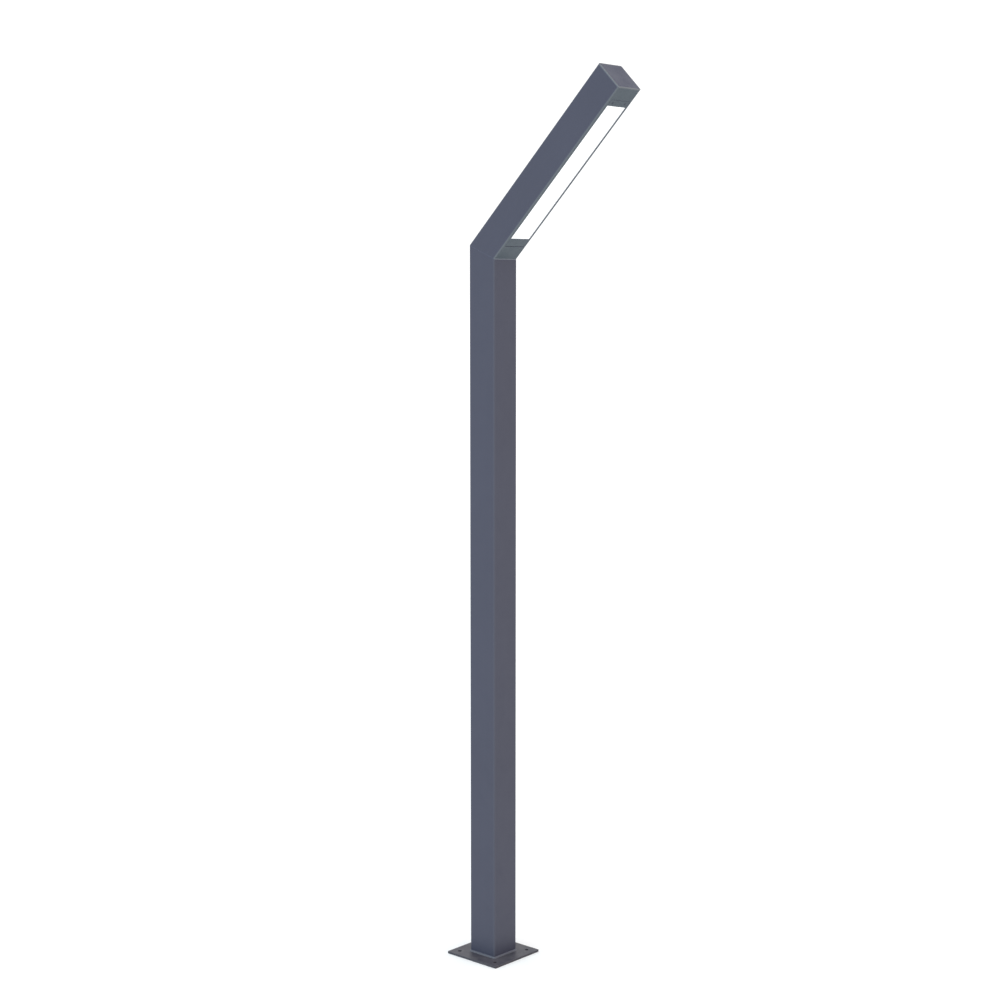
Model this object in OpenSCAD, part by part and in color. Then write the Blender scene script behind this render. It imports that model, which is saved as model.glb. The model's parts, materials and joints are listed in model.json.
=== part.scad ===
// Street lamp post with a hinged light tray in its leaning head and a service door in its back.
// The origin is the centre of the base plate's underside. +Z is up and +X is the way the head leans.
// Parts of the head are drawn in the head's own frame: z runs up the underside from the fold,
// x points out of the underside, and y is the width.

/* [Post] */
// Height from the underside of the base plate to the highest edge of the head
total_h = 4000; // [3700:10:4500]
// Outside width of the square tube
tube_w = 150; // [149:0.5:154]
// Wall thickness of the square tube
tube_wall = 4; // [3.5:0.5:5]
// Outside corner radius of the square tube
tube_corner = 6; // [5.5:0.5:7]

/* [Base] */
// Width of the square base plate
plate_w = 300; // [280:5:340]
// Thickness of the base plate
plate_t = 10; // [8:1:15]
// Distance between anchor holes, along each side
anchor_pitch = 220; // [210:5:230]
// Diameter of the anchor holes
anchor_hole_d = 18; // [14:1:22]
// Diameter of the cable entry hole
entry_hole_d = 100; // [60:5:110]
// Leg of the fillet weld round the foot
weld_leg = 6; // [4:0.5:8]

/* [Head] */
// Angle that the head leans away from the column
head_angle = 45; // [40:1:50]
// Length of the head's underside, from the fold to the tip
head_len = 980; // [975:5:1100]
// Thickness of the plate that closes the tip
cap_t = 4; // [3:0.5:6]

/* [Light tray] */
// Distance from the fold to the opal panel
panel_start = 121; // [119:1:125]
// Length of the opal panel
panel_len = 758; // [740:2:770]
// Width of the opal panel
panel_w = 116.8; // [112:0.4:117.2]
// Depth of the tray's side walls
tray_depth = 24; // [23:0.5:26]
// Thickness of the tray's side walls
tray_wall = 2.2; // [1.8:0.2:2.4]
// Clear gap between the tray and the tube, all round
tray_gap = 0.8; // [0.6:0.1:1.2]
// Diameter of the tray's hinge pin
tray_pin_d = 6; // [5:0.5:7]
// Number of LED boards
board_count = 3; // [2:1:4]
// LEDs along each row of a board
leds_per_row = 8; // [6:1:10]

/* [Service door] */
// Height of the middle of the door
door_z = 700; // [600:10:1000]
// Height of the door opening
door_open_h = 400; // [360:10:440]
// Width of the door opening
door_open_w = 85; // [82:1:86]
// Thickness of the door panel
door_t = 3; // [2.5:0.5:3]
// Clear gap round the door panel
door_gap = 1; // [0.8:0.1:1.5]
// Diameter of the door's hinge pins
door_pin_d = 6; // [5:0.5:7]

/* [Hidden] */

$fn = 48;
hex_sides = 6;

// Colours
paint = [0.35, 0.37, 0.43];
galvanised = [0.66, 0.68, 0.70];
stainless = [0.75, 0.76, 0.78];
aluminium = [0.80, 0.81, 0.83];
opal = [0.97, 0.97, 0.96];
black = [0.09, 0.09, 0.10];
grey = [0.55, 0.56, 0.58];
white = [0.92, 0.92, 0.90];
board_green = [0.10, 0.33, 0.20];
led_yellow = [0.98, 0.85, 0.35];
earth_green = [0.45, 0.70, 0.15];
brass = [0.80, 0.65, 0.30];

// Room left beyond a body when it is cut away
over = 1;
// Radial clearance of a pin that turns in a bore
run_gap = 0.05;

// Tube and fold
half = tube_w / 2;
bore_half = half - tube_wall;
mitre_angle = head_angle / 2;
fold_z = total_h - head_len * cos(head_angle) - tube_w * sin(head_angle);
cut_size = 4 * tube_w;
// Ground weld round the mitre
mitre_weld_depth = 2;
mitre_weld_w = 3;

// Base plate
plate_corner = 3;

// Tray: widths and depths in the head's frame
tray_half = panel_w / 2 + tray_wall;
opening_half = tray_half + tray_gap;
panel_end = panel_start + panel_len;
rim = 1;
body_start = panel_start - rim;
body_end = panel_end + rim;
end_len = 32;
end_plate_t = 4;
end_wall_t = 4;
barrel_r = 7.6;
barrel_x = -8;
barrel_z = body_start - end_len;
// Lip of the tray past its pin, and how far its corner reaches as it swings in through the wall
lip_reach = 12;
lip_t = 2;
lip_swing = sqrt(pow(lip_reach, 2) + pow(barrel_x, 2) - pow(barrel_x + tube_wall, 2));
opening_start = barrel_z - lip_swing - 0.5;
latch_z = body_end + end_len;
opening_end = latch_z + rim;
opening_corner = 1.5;
web_x = -16;
web_t = 3;
ledge_x = -6;
ledge_t = 1.6;
ledge_w = 5;
panel_x = -3.4;
panel_t = 3;
port_w = 8;
port_d = 4;
port_y = tray_half - tray_wall - 8;
port_x = web_x - port_w / 2;
tray_screw_len = 16;

// Tray seat inside the tube
seal_t = 2;
seat_t = 2;
seat_x = -tray_depth - seal_t;
seat_inner_half = 50;
seat_inner_start = barrel_z + 22;
seat_inner_end = body_end + 5;

// Captive screws and their nuts
captive_y = 40;
captive_z = body_end + 17;
captive_d = 6;
captive_head_d = 10;
captive_head_h = 2;
captive_recess = 2.2;
latch_nut_w = 10;
latch_nut_h = 5;

// Hinge ears of the tray
ear_t = 6;
ear_y = opening_half + 1;
ear_reach = 10;

// LED boards
board_w = 100;
board_t = 1.6;
board_space = 4;
board_len = (panel_len - board_space) / board_count - board_space;
board_x = web_x + web_t;
led_size = 3.5;
led_t = 0.8;
led_row_y = 28;
board_screw_inset = 8;

// Driver and surge protector on the back of the tray
driver_start = 160;
driver_len = 170;
driver_w = 60;
driver_h = 34;
bracket_rise = 6;
driver_x = web_x - bracket_rise;
bracket_t = 2;
bracket_tab = 14;
surge_start = 410;
surge_len = 60;
surge_w = 36;
surge_h = 25;
lead_d = 5;
lead_bend = 14;
lead_z = driver_start + driver_len + bracket_tab + 12;

// Sleeves on the bent cables
sleeve_gap = 1;
sleeve_len = 7;
sleeve_t = 1;

// Supply cable and its plug in the head
riser_d = 10;
riser_x = 30;
riser_head_x = riser_x - half;
riser_bend = 60;
riser_tangent = riser_bend * tan(mitre_angle);
riser_mitre_z = riser_head_x * tan(mitre_angle);
riser_top = 36;
bracket_x = riser_head_x - 10;
bracket_plate_t = 3;
socket_len = 34;
socket_w = 28;
socket_h = 20;
plug_len = 28;
plug_w = 24;
plug_h = 16;
jumper_d = 7;
jumper_turn = 100;
jumper_start = riser_top + socket_len + plug_len;
jumper_span = driver_start - jumper_start;
jumper_bend = (jumper_span - 2 * sleeve_gap * cos(jumper_turn)) / (4 * sin(jumper_turn));

// Service door
door_w = door_open_w - 2 * door_gap;
door_h = door_open_h - 2 * door_gap;
door_corner = 10;
door_inner_x = door_t - half;
gasket_t = tube_wall - door_t;
gasket_w = 4;
frame_t = 6;
frame_lap = 6;
frame_reach = 11;
hinge_x = -half - 6.5;
hinge_y = door_open_w / 2 + 5;
hinge_offset = 140;
knuckle_r = 6;
knuckle_gap = 0.4;
hinge_len = 60;
door_knuckle_len = 24;
leaf_t = 4;
leaf_lift = 0.4;
leaf_w = 27;
knuckle_clear = knuckle_r + 0.5;
bracket_leaf_w = 18;

// Door lock
lock_y = -22;
lock_d = 16;
lock_flange_d = 22;
lock_flange_t = 2;
lock_len = 10;
lock_nut_w = 20;
lock_nut_h = 4;
spindle_d = 9;
key_w = 6;
key_depth = 5;
cam_gap = 1;
cam_t = 3;
cam_len = 28;
cam_w = 14;
cam_x = frame_t + cam_gap - bore_half;

// Fuse box and earth stud in the column
rail_w = 40;
rail_h = 300;
rail_t = 3;
rail_space = 6;
box_h = 200;
box_w = 70;
box_d = 52;
box_wall = 2.5;
box_corner = 6;
box_back = bore_half - rail_space - rail_t;
box_front = box_back - box_d;
lid_d = 16;
lid_screw_d = 5;
lid_screw_y = box_w / 2 - 9;
lid_screw_z = box_h / 2 - 10;
lid_boss_d = 10;
gland_w = 22;
gland_h = 8;
gland_dome_d = 18;
gland_dome_h = 9;
gland_bore = riser_d + 2 * run_gap;
supply_gland_y = 14;
earth_z = door_z - 180;
earth_stud_d = 8;
earth_stud_len = 26;
earth_nut_w = 13;
earth_nut_h = 6.5;
earth_wire_d = 4;
earth_tail = 22;

// ---------------------------------------------------------------- shared shapes

// Rectangle with rounded corners, centred
module rounded_rect(w, h, r) {
    square([w - 2 * r, h], center = true);
    square([w, h - 2 * r], center = true);
    for (x = [-1, 1], y = [-1, 1])
        translate([x * (w / 2 - r), y * (h / 2 - r)]) circle(r);
}

// Square tube section, taking a layer of the given thickness off its outside
module tube_section(thickness) {
    difference() {
        rounded_rect(tube_w, tube_w, tube_corner);
        rounded_rect(tube_w - 2 * thickness, tube_w - 2 * thickness, tube_corner - thickness);
    }
}

// Moves children into the head's frame
module in_head() {
    translate([half, 0, fold_z]) rotate([0, head_angle, 0]) children();
}

// Repeats children at the four corners of a square
module at_corners(pitch) {
    for (x = [-1, 1], y = [-1, 1]) translate([x * pitch / 2, y * pitch / 2, 0]) children();
}

// Repeats children on both sides of the middle
module both_sides() {
    children();
    mirror([0, 1, 0]) children();
}

// A drawing in the YZ plane, made solid from x to x + t
module facing_x(x, t) {
    translate([x, 0, 0]) rotate([90, 0, 90]) linear_extrude(t) children();
}

// Round bar along x, from x to x + len
module bar_x(x, len, d, fn = 48) {
    translate([x, 0, 0]) rotate([0, 90, 0]) cylinder(d = d, h = len, $fn = fn);
}

// Round bar along y, centred
module bar_y(len, d) {
    rotate([90, 0, 0]) cylinder(d = d, h = len, center = true);
}

// Hexagonal prism along z by its width across flats
module hex_bar(flats, h) {
    cylinder(d = flats / cos(180 / hex_sides), h = h, $fn = hex_sides);
}

// Box given by its lowest and highest corners
module box(low, high) {
    translate(low) cube(high - low);
}

// Bend of a round cable in the XZ plane. It starts at the origin heading +z and
// turns towards +x, or towards -x when side is -1.
module cable_bend(radius, d, turn, side = 1) {
    translate([side * radius, 0, 0])
        rotate([90, 0, side > 0 ? 180 : 0])
            rotate_extrude(angle = turn) translate([radius, 0]) circle(d = d);
}

// Where a bend leads, for children that carry on from its end
module after_bend(radius, turn, side = 1) {
    translate([side * radius * (1 - cos(turn)), 0, radius * sin(turn)])
        rotate([0, side * turn, 0]) children();
}

// Shrink sleeve round the place where two lengths of cable meet, at the first one's end
module cable_sleeve(d) {
    translate([0, 0, (sleeve_gap - sleeve_len) / 2]) cylinder(d = d + 2 * sleeve_t, h = sleeve_len);
}

// Pan-head screw along -z, its seat at z = 0
module pan_screw(d, len) {
    translate([0, 0, -len]) cylinder(d = d, h = len);
    difference() {
        cylinder(d = 2 * d, h = 0.6 * d);
        translate([0, 0, 0.3 * d]) hex_bar(0.6 * d, d);
    }
}

// Everything above the mitre plane of the column
module above_mitre(shift = 0) {
    translate([half, 0, fold_z]) rotate([0, mitre_angle, 0])
        translate([-cut_size / 2, -cut_size / 2, shift]) cube([cut_size, cut_size, cut_size]);
}

// Everything below the mitre plane, in the head's frame
module below_mitre() {
    rotate([0, -mitre_angle, 0])
        translate([-cut_size / 2, -cut_size / 2, -cut_size]) cube([cut_size, cut_size, cut_size]);
}

// Column section raised from the base plate past the fold
module column_blank(thickness, start = plate_t) {
    translate([0, 0, start]) linear_extrude(fold_z + tube_w - start) tube_section(thickness);
}

// Head section in the head's frame, from below the fold to the end plate
module head_blank() {
    translate([-half, 0, -tube_w]) linear_extrude(head_len - cap_t + tube_w) tube_section(tube_wall);
}

// ---------------------------------------------------------------- post

module base_plate() {
    color(paint)
    difference() {
        linear_extrude(plate_t) rounded_rect(plate_w, plate_w, plate_corner);
        translate([0, 0, -over]) at_corners(anchor_pitch) cylinder(d = anchor_hole_d, h = plate_t + 2 * over);
        translate([0, 0, -over]) cylinder(d = entry_hole_d, h = plate_t + 2 * over);
    }
}

module base_weld() {
    flat = tube_w - 2 * tube_corner;
    color(paint)
    translate([0, 0, plate_t])
        for (side = [0:3]) rotate([0, 0, 90 * side]) {
            translate([half, flat / 2, 0]) rotate([90, 0, 0])
                linear_extrude(flat) polygon([[0, 0], [weld_leg, 0], [0, weld_leg]]);
            translate([flat / 2, flat / 2, 0]) rotate_extrude(angle = 90)
                polygon([[tube_corner, 0], [tube_corner + weld_leg, 0], [tube_corner, weld_leg]]);
        }
}

module column_tube() {
    color(paint)
    difference() {
        column_blank(tube_wall);
        above_mitre();
        translate([0, 0, door_z]) facing_x(-half - over, tube_wall + 2 * over)
            rounded_rect(door_open_w, door_open_h, door_corner);
        intersection() {
            column_blank(mitre_weld_depth, fold_z - tube_w);
            above_mitre(-mitre_weld_w);
        }
    }
}

// Weld bead round the mitre, ground flush with the tube
module mitre_weld() {
    color(paint)
    intersection() {
        column_blank(mitre_weld_depth, fold_z - tube_w);
        difference() {
            above_mitre(-mitre_weld_w);
            above_mitre();
        }
    }
}

module head_tube() {
    mid = (opening_start + opening_end) / 2;
    color(paint)
    in_head() difference() {
        head_blank();
        below_mitre();
        translate([0, 0, mid]) facing_x(-tube_wall - over, tube_wall + 2 * over)
            rounded_rect(2 * opening_half, opening_end - opening_start, opening_corner);
    }
}

module head_end_cap() {
    color(paint)
    in_head() translate([-half, 0, head_len - cap_t])
        linear_extrude(cap_t) rounded_rect(tube_w, tube_w, tube_corner);
}

// ---------------------------------------------------------------- door frame and hinges

module door_frame() {
    color(galvanised)
    translate([0, 0, door_z]) facing_x(-bore_half, frame_t) difference() {
        rounded_rect(door_open_w + 2 * frame_reach, door_open_h + 2 * frame_reach, door_corner);
        rounded_rect(door_open_w - 2 * frame_lap, door_open_h - 2 * frame_lap, door_corner);
    }
}

// Repeats children at the middle of each door hinge, on its axis
module at_door_hinges() {
    for (z = [-1, 1]) translate([hinge_x, hinge_y, door_z + z * hinge_offset]) children();
}

module door_hinge_brackets() {
    fixed_len = (hinge_len - door_knuckle_len) / 2 - knuckle_gap;
    leaf_x = -half - hinge_x;
    color(paint)
    at_door_hinges() difference() {
        union() {
            box([leaf_x - leaf_t, knuckle_clear, -hinge_len / 2], [leaf_x, bracket_leaf_w, hinge_len / 2]);
            for (end = [0, 1]) mirror([0, 0, end]) translate([0, 0, hinge_len / 2 - fixed_len]) {
                cylinder(r = knuckle_r, h = fixed_len);
                box([leaf_x - leaf_t, 0, 0], [leaf_x, knuckle_clear, fixed_len]);
            }
        }
        cylinder(d = door_pin_d + 2 * run_gap, h = hinge_len + 2 * over, center = true);
    }
}

module door_hinge_pins() {
    head_d = 1.5 * door_pin_d;
    head_h = 2;
    color(stainless)
    at_door_hinges() {
        cylinder(d = door_pin_d, h = hinge_len, center = true);
        translate([0, 0, hinge_len / 2]) cylinder(d = head_d, h = head_h);
    }
}

// ---------------------------------------------------------------- fuse box and earth

module fuse_box_rail() {
    color(galvanised)
    translate([0, 0, door_z]) {
        box([box_back, -rail_w / 2, -rail_h / 2], [box_back + rail_t, rail_w / 2, rail_h / 2]);
        for (z = [-1, 1]) translate([0, 0, z * (rail_h - rail_w) / 2])
            box([box_back + rail_t, -rail_w / 4, -rail_w / 4], [bore_half, rail_w / 4, rail_w / 4]);
    }
}

// Repeats children at the four lid screws
module at_lid_screws() {
    for (y = [-1, 1], z = [-1, 1]) translate([0, y * lid_screw_y, z * lid_screw_z]) children();
}

module fuse_box() {
    color(grey)
    translate([0, 0, door_z]) difference() {
        union() {
            difference() {
                facing_x(box_front, box_d) rounded_rect(box_w, box_h, box_corner);
                facing_x(box_front - over, box_d - box_wall + over)
                    rounded_rect(box_w - 2 * box_wall, box_h - 2 * box_wall, box_corner - box_wall);
            }
            at_lid_screws() bar_x(box_front, box_d - box_wall / 2, lid_boss_d);
        }
        at_lid_screws() bar_x(box_front - over, lid_d + over, lid_screw_d);
        translate([riser_x, 0, 0]) cylinder(d = gland_bore, h = box_h);
        for (y = [-1, 1]) translate([riser_x, y * supply_gland_y, -box_h])
            cylinder(d = gland_bore, h = box_h);
    }
}

module fuse_box_lid() {
    color(grey)
    translate([0, 0, door_z]) difference() {
        union() {
            difference() {
                facing_x(box_front - lid_d, lid_d) rounded_rect(box_w, box_h, box_corner);
                facing_x(box_front - lid_d + box_wall, lid_d)
                    rounded_rect(box_w - 2 * box_wall, box_h - 2 * box_wall, box_corner - box_wall);
            }
            at_lid_screws() bar_x(box_front - lid_d + box_wall / 2, lid_d - box_wall / 2, lid_boss_d);
        }
        at_lid_screws() bar_x(box_front - lid_d - over, lid_d + 2 * over, lid_screw_d + 2 * run_gap);
    }
}

module fuse_lid_screws() {
    color(brass)
    translate([box_front - lid_d, 0, door_z]) at_lid_screws() rotate([0, -90, 0])
        pan_screw(lid_screw_d, 2 * lid_d - 4);
}

module fuse_holder() {
    body_d = 34;
    body_w = 18;
    body_h = 76;
    cap_d = 12;
    back = box_back - box_wall;
    color(black)
    translate([0, supply_gland_y, door_z + 20]) {
        facing_x(back - body_d, body_d) rounded_rect(body_w, body_h, 2);
        bar_x(back - body_d - 6, 6, cap_d);
    }
}

module terminal_block() {
    way_count = 4;
    way_w = 8;
    way_h = 26;
    way_d = 22;
    screw_d = 4;
    back = box_back - box_wall;
    color(white)
    translate([0, 0, door_z - 60]) difference() {
        box([back - way_d, -way_count * way_w / 2, -way_h / 2], [back, way_count * way_w / 2, way_h / 2]);
        for (way = [0:way_count - 1], z = [-1, 1])
            translate([0, (way + 0.5 - way_count / 2) * way_w, z * way_h / 4])
                bar_x(back - way_d - over, way_d / 2, screw_d);
    }
}

// Gland with its seat at z = 0, pointing up
module gland() {
    difference() {
        union() {
            hex_bar(gland_w, gland_h);
            translate([0, 0, gland_h]) cylinder(d = gland_dome_d, h = gland_dome_h);
        }
        translate([0, 0, -over]) cylinder(d = gland_bore, h = gland_h + gland_dome_h + 2 * over);
    }
}

module cable_glands() {
    color(black) {
        translate([riser_x, 0, door_z + box_h / 2]) gland();
        for (y = [-1, 1]) translate([riser_x, y * supply_gland_y, door_z - box_h / 2])
            mirror([0, 0, 1]) gland();
    }
}

module earth_stud() {
    color(brass)
    translate([0, supply_gland_y, earth_z]) bar_x(bore_half - earth_stud_len, earth_stud_len, earth_stud_d);
}

module earth_nuts() {
    bore = earth_stud_d + 2 * run_gap;
    color(brass)
    translate([bore_half, supply_gland_y, earth_z]) rotate([0, -90, 0]) difference() {
        for (level = [0, 1]) translate([0, 0, 2 + level * (earth_nut_h + earth_wire_d + 1)])
            hex_bar(earth_nut_w, earth_nut_h);
        cylinder(d = bore, h = earth_stud_len + over);
    }
}

// Earth wire from a ring on the stud, down, round and up through a gland into the fuse box
module earth_wire() {
    ring_x = bore_half - 2 - earth_nut_h - earth_wire_d / 2 - 0.5;
    ring_d = earth_stud_d + 2 * earth_wire_d;
    bend = (ring_x - riser_x) / 2;
    wire_end = door_z - box_h / 2 + 20;
    color(earth_green)
    translate([ring_x, supply_gland_y, earth_z]) {
        difference() {
            bar_x(-earth_wire_d / 2, earth_wire_d, ring_d);
            bar_x(-earth_wire_d, 2 * earth_wire_d, earth_stud_d + 2 * run_gap);
        }
        translate([0, 0, -earth_tail]) {
            cylinder(d = earth_wire_d, h = earth_tail - earth_stud_d / 2 - 2);
            mirror([0, 0, 1]) cable_bend(bend, earth_wire_d, 180, -1);
            translate([-2 * bend, 0, 0]) cylinder(d = earth_wire_d, h = wire_end - earth_z + earth_tail);
        }
    }
}

module riser_cable() {
    start_z = door_z + box_h / 2 - box_wall - 12;
    bend_z = fold_z - riser_mitre_z - riser_tangent;
    color(black) {
        translate([riser_x, 0, start_z]) cylinder(d = riser_d, h = bend_z - start_z - sleeve_gap);
        translate([riser_x, 0, bend_z]) {
            translate([0, 0, -sleeve_gap]) cable_sleeve(riser_d);
            cable_bend(riser_bend, riser_d, head_angle);
            after_bend(riser_bend, head_angle) {
                cable_sleeve(riser_d);
                translate([0, 0, sleeve_gap])
                    cylinder(d = riser_d, h = riser_top - riser_mitre_z - riser_tangent - sleeve_gap - run_gap);
            }
        }
    }
}

// ---------------------------------------------------------------- supply plug in the head

module socket_bracket() {
    foot = 14;
    low_z = riser_top - 26;
    high_z = riser_top + socket_len + 2;
    color(galvanised)
    in_head() {
        box([bracket_x - bracket_plate_t, -bore_half + bracket_plate_t, low_z],
            [bracket_x, socket_w / 2 + 4, high_z]);
        box([bracket_x - bracket_plate_t, -bore_half, low_z],
            [bracket_x + foot, -bore_half + bracket_plate_t, high_z]);
    }
}

module cable_clamp() {
    clamp_w = 30;
    clamp_len = 12;
    low_z = riser_top - 20;
    color(black)
    in_head() difference() {
        box([bracket_x, -clamp_w / 2, low_z],
            [riser_head_x + riser_d / 2 + 4, clamp_w / 2, low_z + clamp_len]);
        translate([riser_head_x, 0, low_z - over])
            cylinder(d = gland_bore, h = clamp_len + 2 * over);
    }
}

module supply_socket() {
    pocket_len = 10;
    color(black)
    in_head() difference() {
        translate([bracket_x + socket_h / 2, 0, riser_top])
            linear_extrude(socket_len) rounded_rect(socket_h, socket_w, 3);
        translate([riser_head_x, 0, riser_top + socket_len - pocket_len])
            linear_extrude(pocket_len + over) rounded_rect(plug_h - 4, plug_w - 6, 1.5);
    }
}

module supply_plug() {
    nose_len = 9.5;
    color(black)
    in_head() translate([riser_head_x, 0, riser_top + socket_len]) {
        linear_extrude(plug_len) rounded_rect(plug_h, plug_w, 3);
        translate([0, 0, -nose_len]) linear_extrude(nose_len) rounded_rect(plug_h - 5, plug_w - 7, 1);
    }
}

// ---------------------------------------------------------------- tray seat in the head

// Ring under the tray's edge, as a drawing in the YZ plane
module seat_ring(out, inner_out) {
    mid = (opening_start + opening_end) / 2;
    inner_mid = (seat_inner_start + seat_inner_end) / 2;
    difference() {
        translate([0, mid]) square([2 * (opening_half + out), opening_end - opening_start + 2 * out],
            center = true);
        translate([0, inner_mid]) square([2 * (seat_inner_half + inner_out),
            seat_inner_end - seat_inner_start + 2 * inner_out], center = true);
    }
}

module tray_seat_frame() {
    color(galvanised)
    in_head() difference() {
        facing_x(seat_x - seat_t, seat_t) seat_ring(bore_half - opening_half, 0);
        for (y = [-1, 1]) translate([0, y * captive_y, captive_z])
            bar_x(seat_x - seat_t - over, seat_t + 2 * over, captive_d + 1);
    }
}

module tray_seal() {
    color(black)
    in_head() difference() {
        facing_x(seat_x, seal_t) seat_ring(-0.5, 1);
        for (y = [-1, 1]) translate([0, y * captive_y, captive_z])
            bar_x(seat_x - over, seal_t + 2 * over, captive_d + 1);
    }
}

module tray_hinge_ears() {
    color(galvanised)
    in_head() both_sides() difference() {
        union() {
            translate([barrel_x, ear_y + ear_t / 2, barrel_z]) bar_y(ear_t, 2 * ear_reach - 1);
            box([barrel_x, ear_y, barrel_z - ear_reach], [-tube_wall, ear_y + ear_t, barrel_z + ear_reach]);
        }
        translate([barrel_x, 0, barrel_z]) bar_y(tube_w, tray_pin_d + 2 * run_gap);
        box([-tube_wall, 0, 0], [tube_wall, half, 2 * barrel_z]);
    }
}

module latch_nuts() {
    color(stainless)
    in_head() for (y = [-1, 1]) translate([seat_x - seat_t, y * captive_y, captive_z])
        rotate([0, -90, 0]) difference() {
            hex_bar(latch_nut_w, latch_nut_h);
            translate([0, 0, -over]) cylinder(d = captive_d + 0.3, h = latch_nut_h + 2 * over);
        }
}

// ---------------------------------------------------------------- service door

module service_door_panel() {
    color(paint)
    translate([0, 0, door_z]) difference() {
        facing_x(-half, door_t) rounded_rect(door_w, door_h, door_corner - door_gap);
        translate([0, lock_y, 0]) bar_x(-half - over, door_t + 2 * over, lock_d);
    }
}

module door_gasket() {
    outer_w = door_w - 1;
    outer_h = door_h - 1;
    color(black)
    translate([0, 0, door_z]) facing_x(door_inner_x, gasket_t) difference() {
        rounded_rect(outer_w, outer_h, door_corner - door_gap);
        rounded_rect(outer_w - 2 * gasket_w, outer_h - 2 * gasket_w, door_corner - gasket_w);
    }
}

module door_hinge_leaves() {
    leaf_x = -half - hinge_x;
    color(paint)
    at_door_hinges() difference() {
        union() {
            cylinder(r = knuckle_r, h = door_knuckle_len, center = true);
            box([leaf_x - leaf_t, -leaf_w, -hinge_len / 2], [leaf_x, -knuckle_clear, hinge_len / 2]);
            box([leaf_x - leaf_t, -knuckle_clear, -door_knuckle_len / 2],
                [leaf_x - leaf_lift, 0, door_knuckle_len / 2]);
        }
        cylinder(d = door_pin_d + 2 * run_gap, h = hinge_len, center = true);
    }
}

module lock_housing() {
    color(stainless)
    translate([0, lock_y, door_z]) difference() {
        union() {
            bar_x(-half - lock_flange_t, lock_flange_t, lock_flange_d);
            bar_x(-half, lock_len, lock_d);
        }
        bar_x(-half - lock_flange_t - over, lock_len + lock_flange_t + 2 * over, spindle_d + 2 * run_gap);
    }
}

module lock_nut() {
    color(stainless)
    translate([door_inner_x, lock_y, door_z]) rotate([0, 90, 0]) difference() {
        hex_bar(lock_nut_w, lock_nut_h);
        translate([0, 0, -over]) cylinder(d = lock_d, h = lock_nut_h + 2 * over);
    }
}

// The spindle is turned by a three-sided key from outside
module lock_spindle() {
    outer_x = -half - lock_flange_t + 0.5;
    color(stainless)
    translate([0, lock_y, door_z]) difference() {
        bar_x(outer_x, cam_x - outer_x, spindle_d);
        bar_x(outer_x - over, key_depth + over, key_w, 3);
    }
}

// The cam points up when the door is unlocked
module lock_cam() {
    color(galvanised)
    translate([cam_x, lock_y, door_z]) difference() {
        union() {
            bar_x(0, cam_t, cam_w);
            box([0, -cam_w / 2, 0], [cam_t, cam_w / 2, cam_len - cam_w / 2]);
        }
        bar_x(-over, cam_t + 2 * over, 4);
    }
}

module lock_cam_screw() {
    color(stainless)
    translate([cam_x + cam_t, lock_y, door_z]) rotate([0, 90, 0]) pan_screw(4, cam_t);
}

// ---------------------------------------------------------------- light tray

// Side wall, ledge and half of the web, as a drawing across the head
module tray_half_section() {
    difference() {
        union() {
            translate([-tray_depth, tray_half - tray_wall]) square([tray_depth, tray_wall]);
            translate([ledge_x, tray_half - tray_wall - ledge_w]) square([ledge_t, ledge_w + tray_wall / 2]);
            translate([web_x, 0]) square([web_t, tray_half - tray_wall / 2]);
            translate([port_x - port_w / 2, port_y - port_w / 2]) square([port_w + web_t / 2, port_w]);
        }
        translate([port_x, port_y]) circle(d = port_d);
    }
}

module tray_extrusion() {
    color(aluminium)
    in_head() difference() {
        translate([0, 0, body_start]) linear_extrude(body_end - body_start) {
            tray_half_section();
            mirror([0, 1]) tray_half_section();
        }
        translate([0, 0, lead_z]) bar_x(web_x - over, web_t + 2 * over, lead_d + 2 * run_gap);
    }
}

// End piece with its wall at z = 0 against the extrusion and its plate running away along -z
module tray_end(len) {
    difference() {
        union() {
            box([-end_plate_t, -tray_half, -len], [0, tray_half, 0]);
            box([-tray_depth, -tray_half, -end_wall_t], [-end_plate_t / 2, tray_half, 0]);
            both_sides() box([-tray_depth, tray_half - tray_wall, 8 - len], [0, tray_half, 0]);
        }
        both_sides() translate([port_x, port_y, -end_wall_t - over])
            cylinder(d = port_d, h = end_wall_t + 2 * over);
    }
}

module tray_hinge_end() {
    color(paint)
    in_head() difference() {
        union() {
            translate([0, 0, body_start]) tray_end(end_len);
            translate([barrel_x, 0, barrel_z]) bar_y(2 * tray_half, 2 * barrel_r);
            box([barrel_x, -tray_half, barrel_z], [-end_plate_t / 2, tray_half, barrel_z + barrel_r]);
            box([-lip_t, -tray_half, barrel_z - lip_reach], [0, tray_half, barrel_z + 1]);
        }
        translate([barrel_x, 0, barrel_z]) bar_y(tube_w, tray_pin_d);
    }
}

module tray_latch_end() {
    color(paint)
    in_head() difference() {
        translate([0, 0, body_end]) mirror([0, 0, 1]) tray_end(end_len);
        for (y = [-1, 1]) translate([0, y * captive_y, captive_z]) {
            bar_x(-end_plate_t - over, end_plate_t + 2 * over, captive_d + 0.6);
            bar_x(-captive_recess, captive_recess + over, captive_head_d + 2);
        }
    }
}

module tray_end_screws() {
    color(stainless)
    in_head() for (y = [-1, 1]) {
        translate([port_x, y * port_y, body_start - end_wall_t]) mirror([0, 0, 1])
            pan_screw(port_d, tray_screw_len);
        translate([port_x, y * port_y, body_end + end_wall_t]) pan_screw(port_d, tray_screw_len);
    }
}

module tray_hinge_pin() {
    color(stainless)
    in_head() translate([barrel_x, 0, barrel_z]) bar_y(2 * (ear_y + ear_t), tray_pin_d);
}

module diffuser() {
    color(opal)
    in_head() translate([0, 0, panel_start + panel_len / 2])
        facing_x(panel_x, panel_t) square([panel_w, panel_len], center = true);
}

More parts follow.
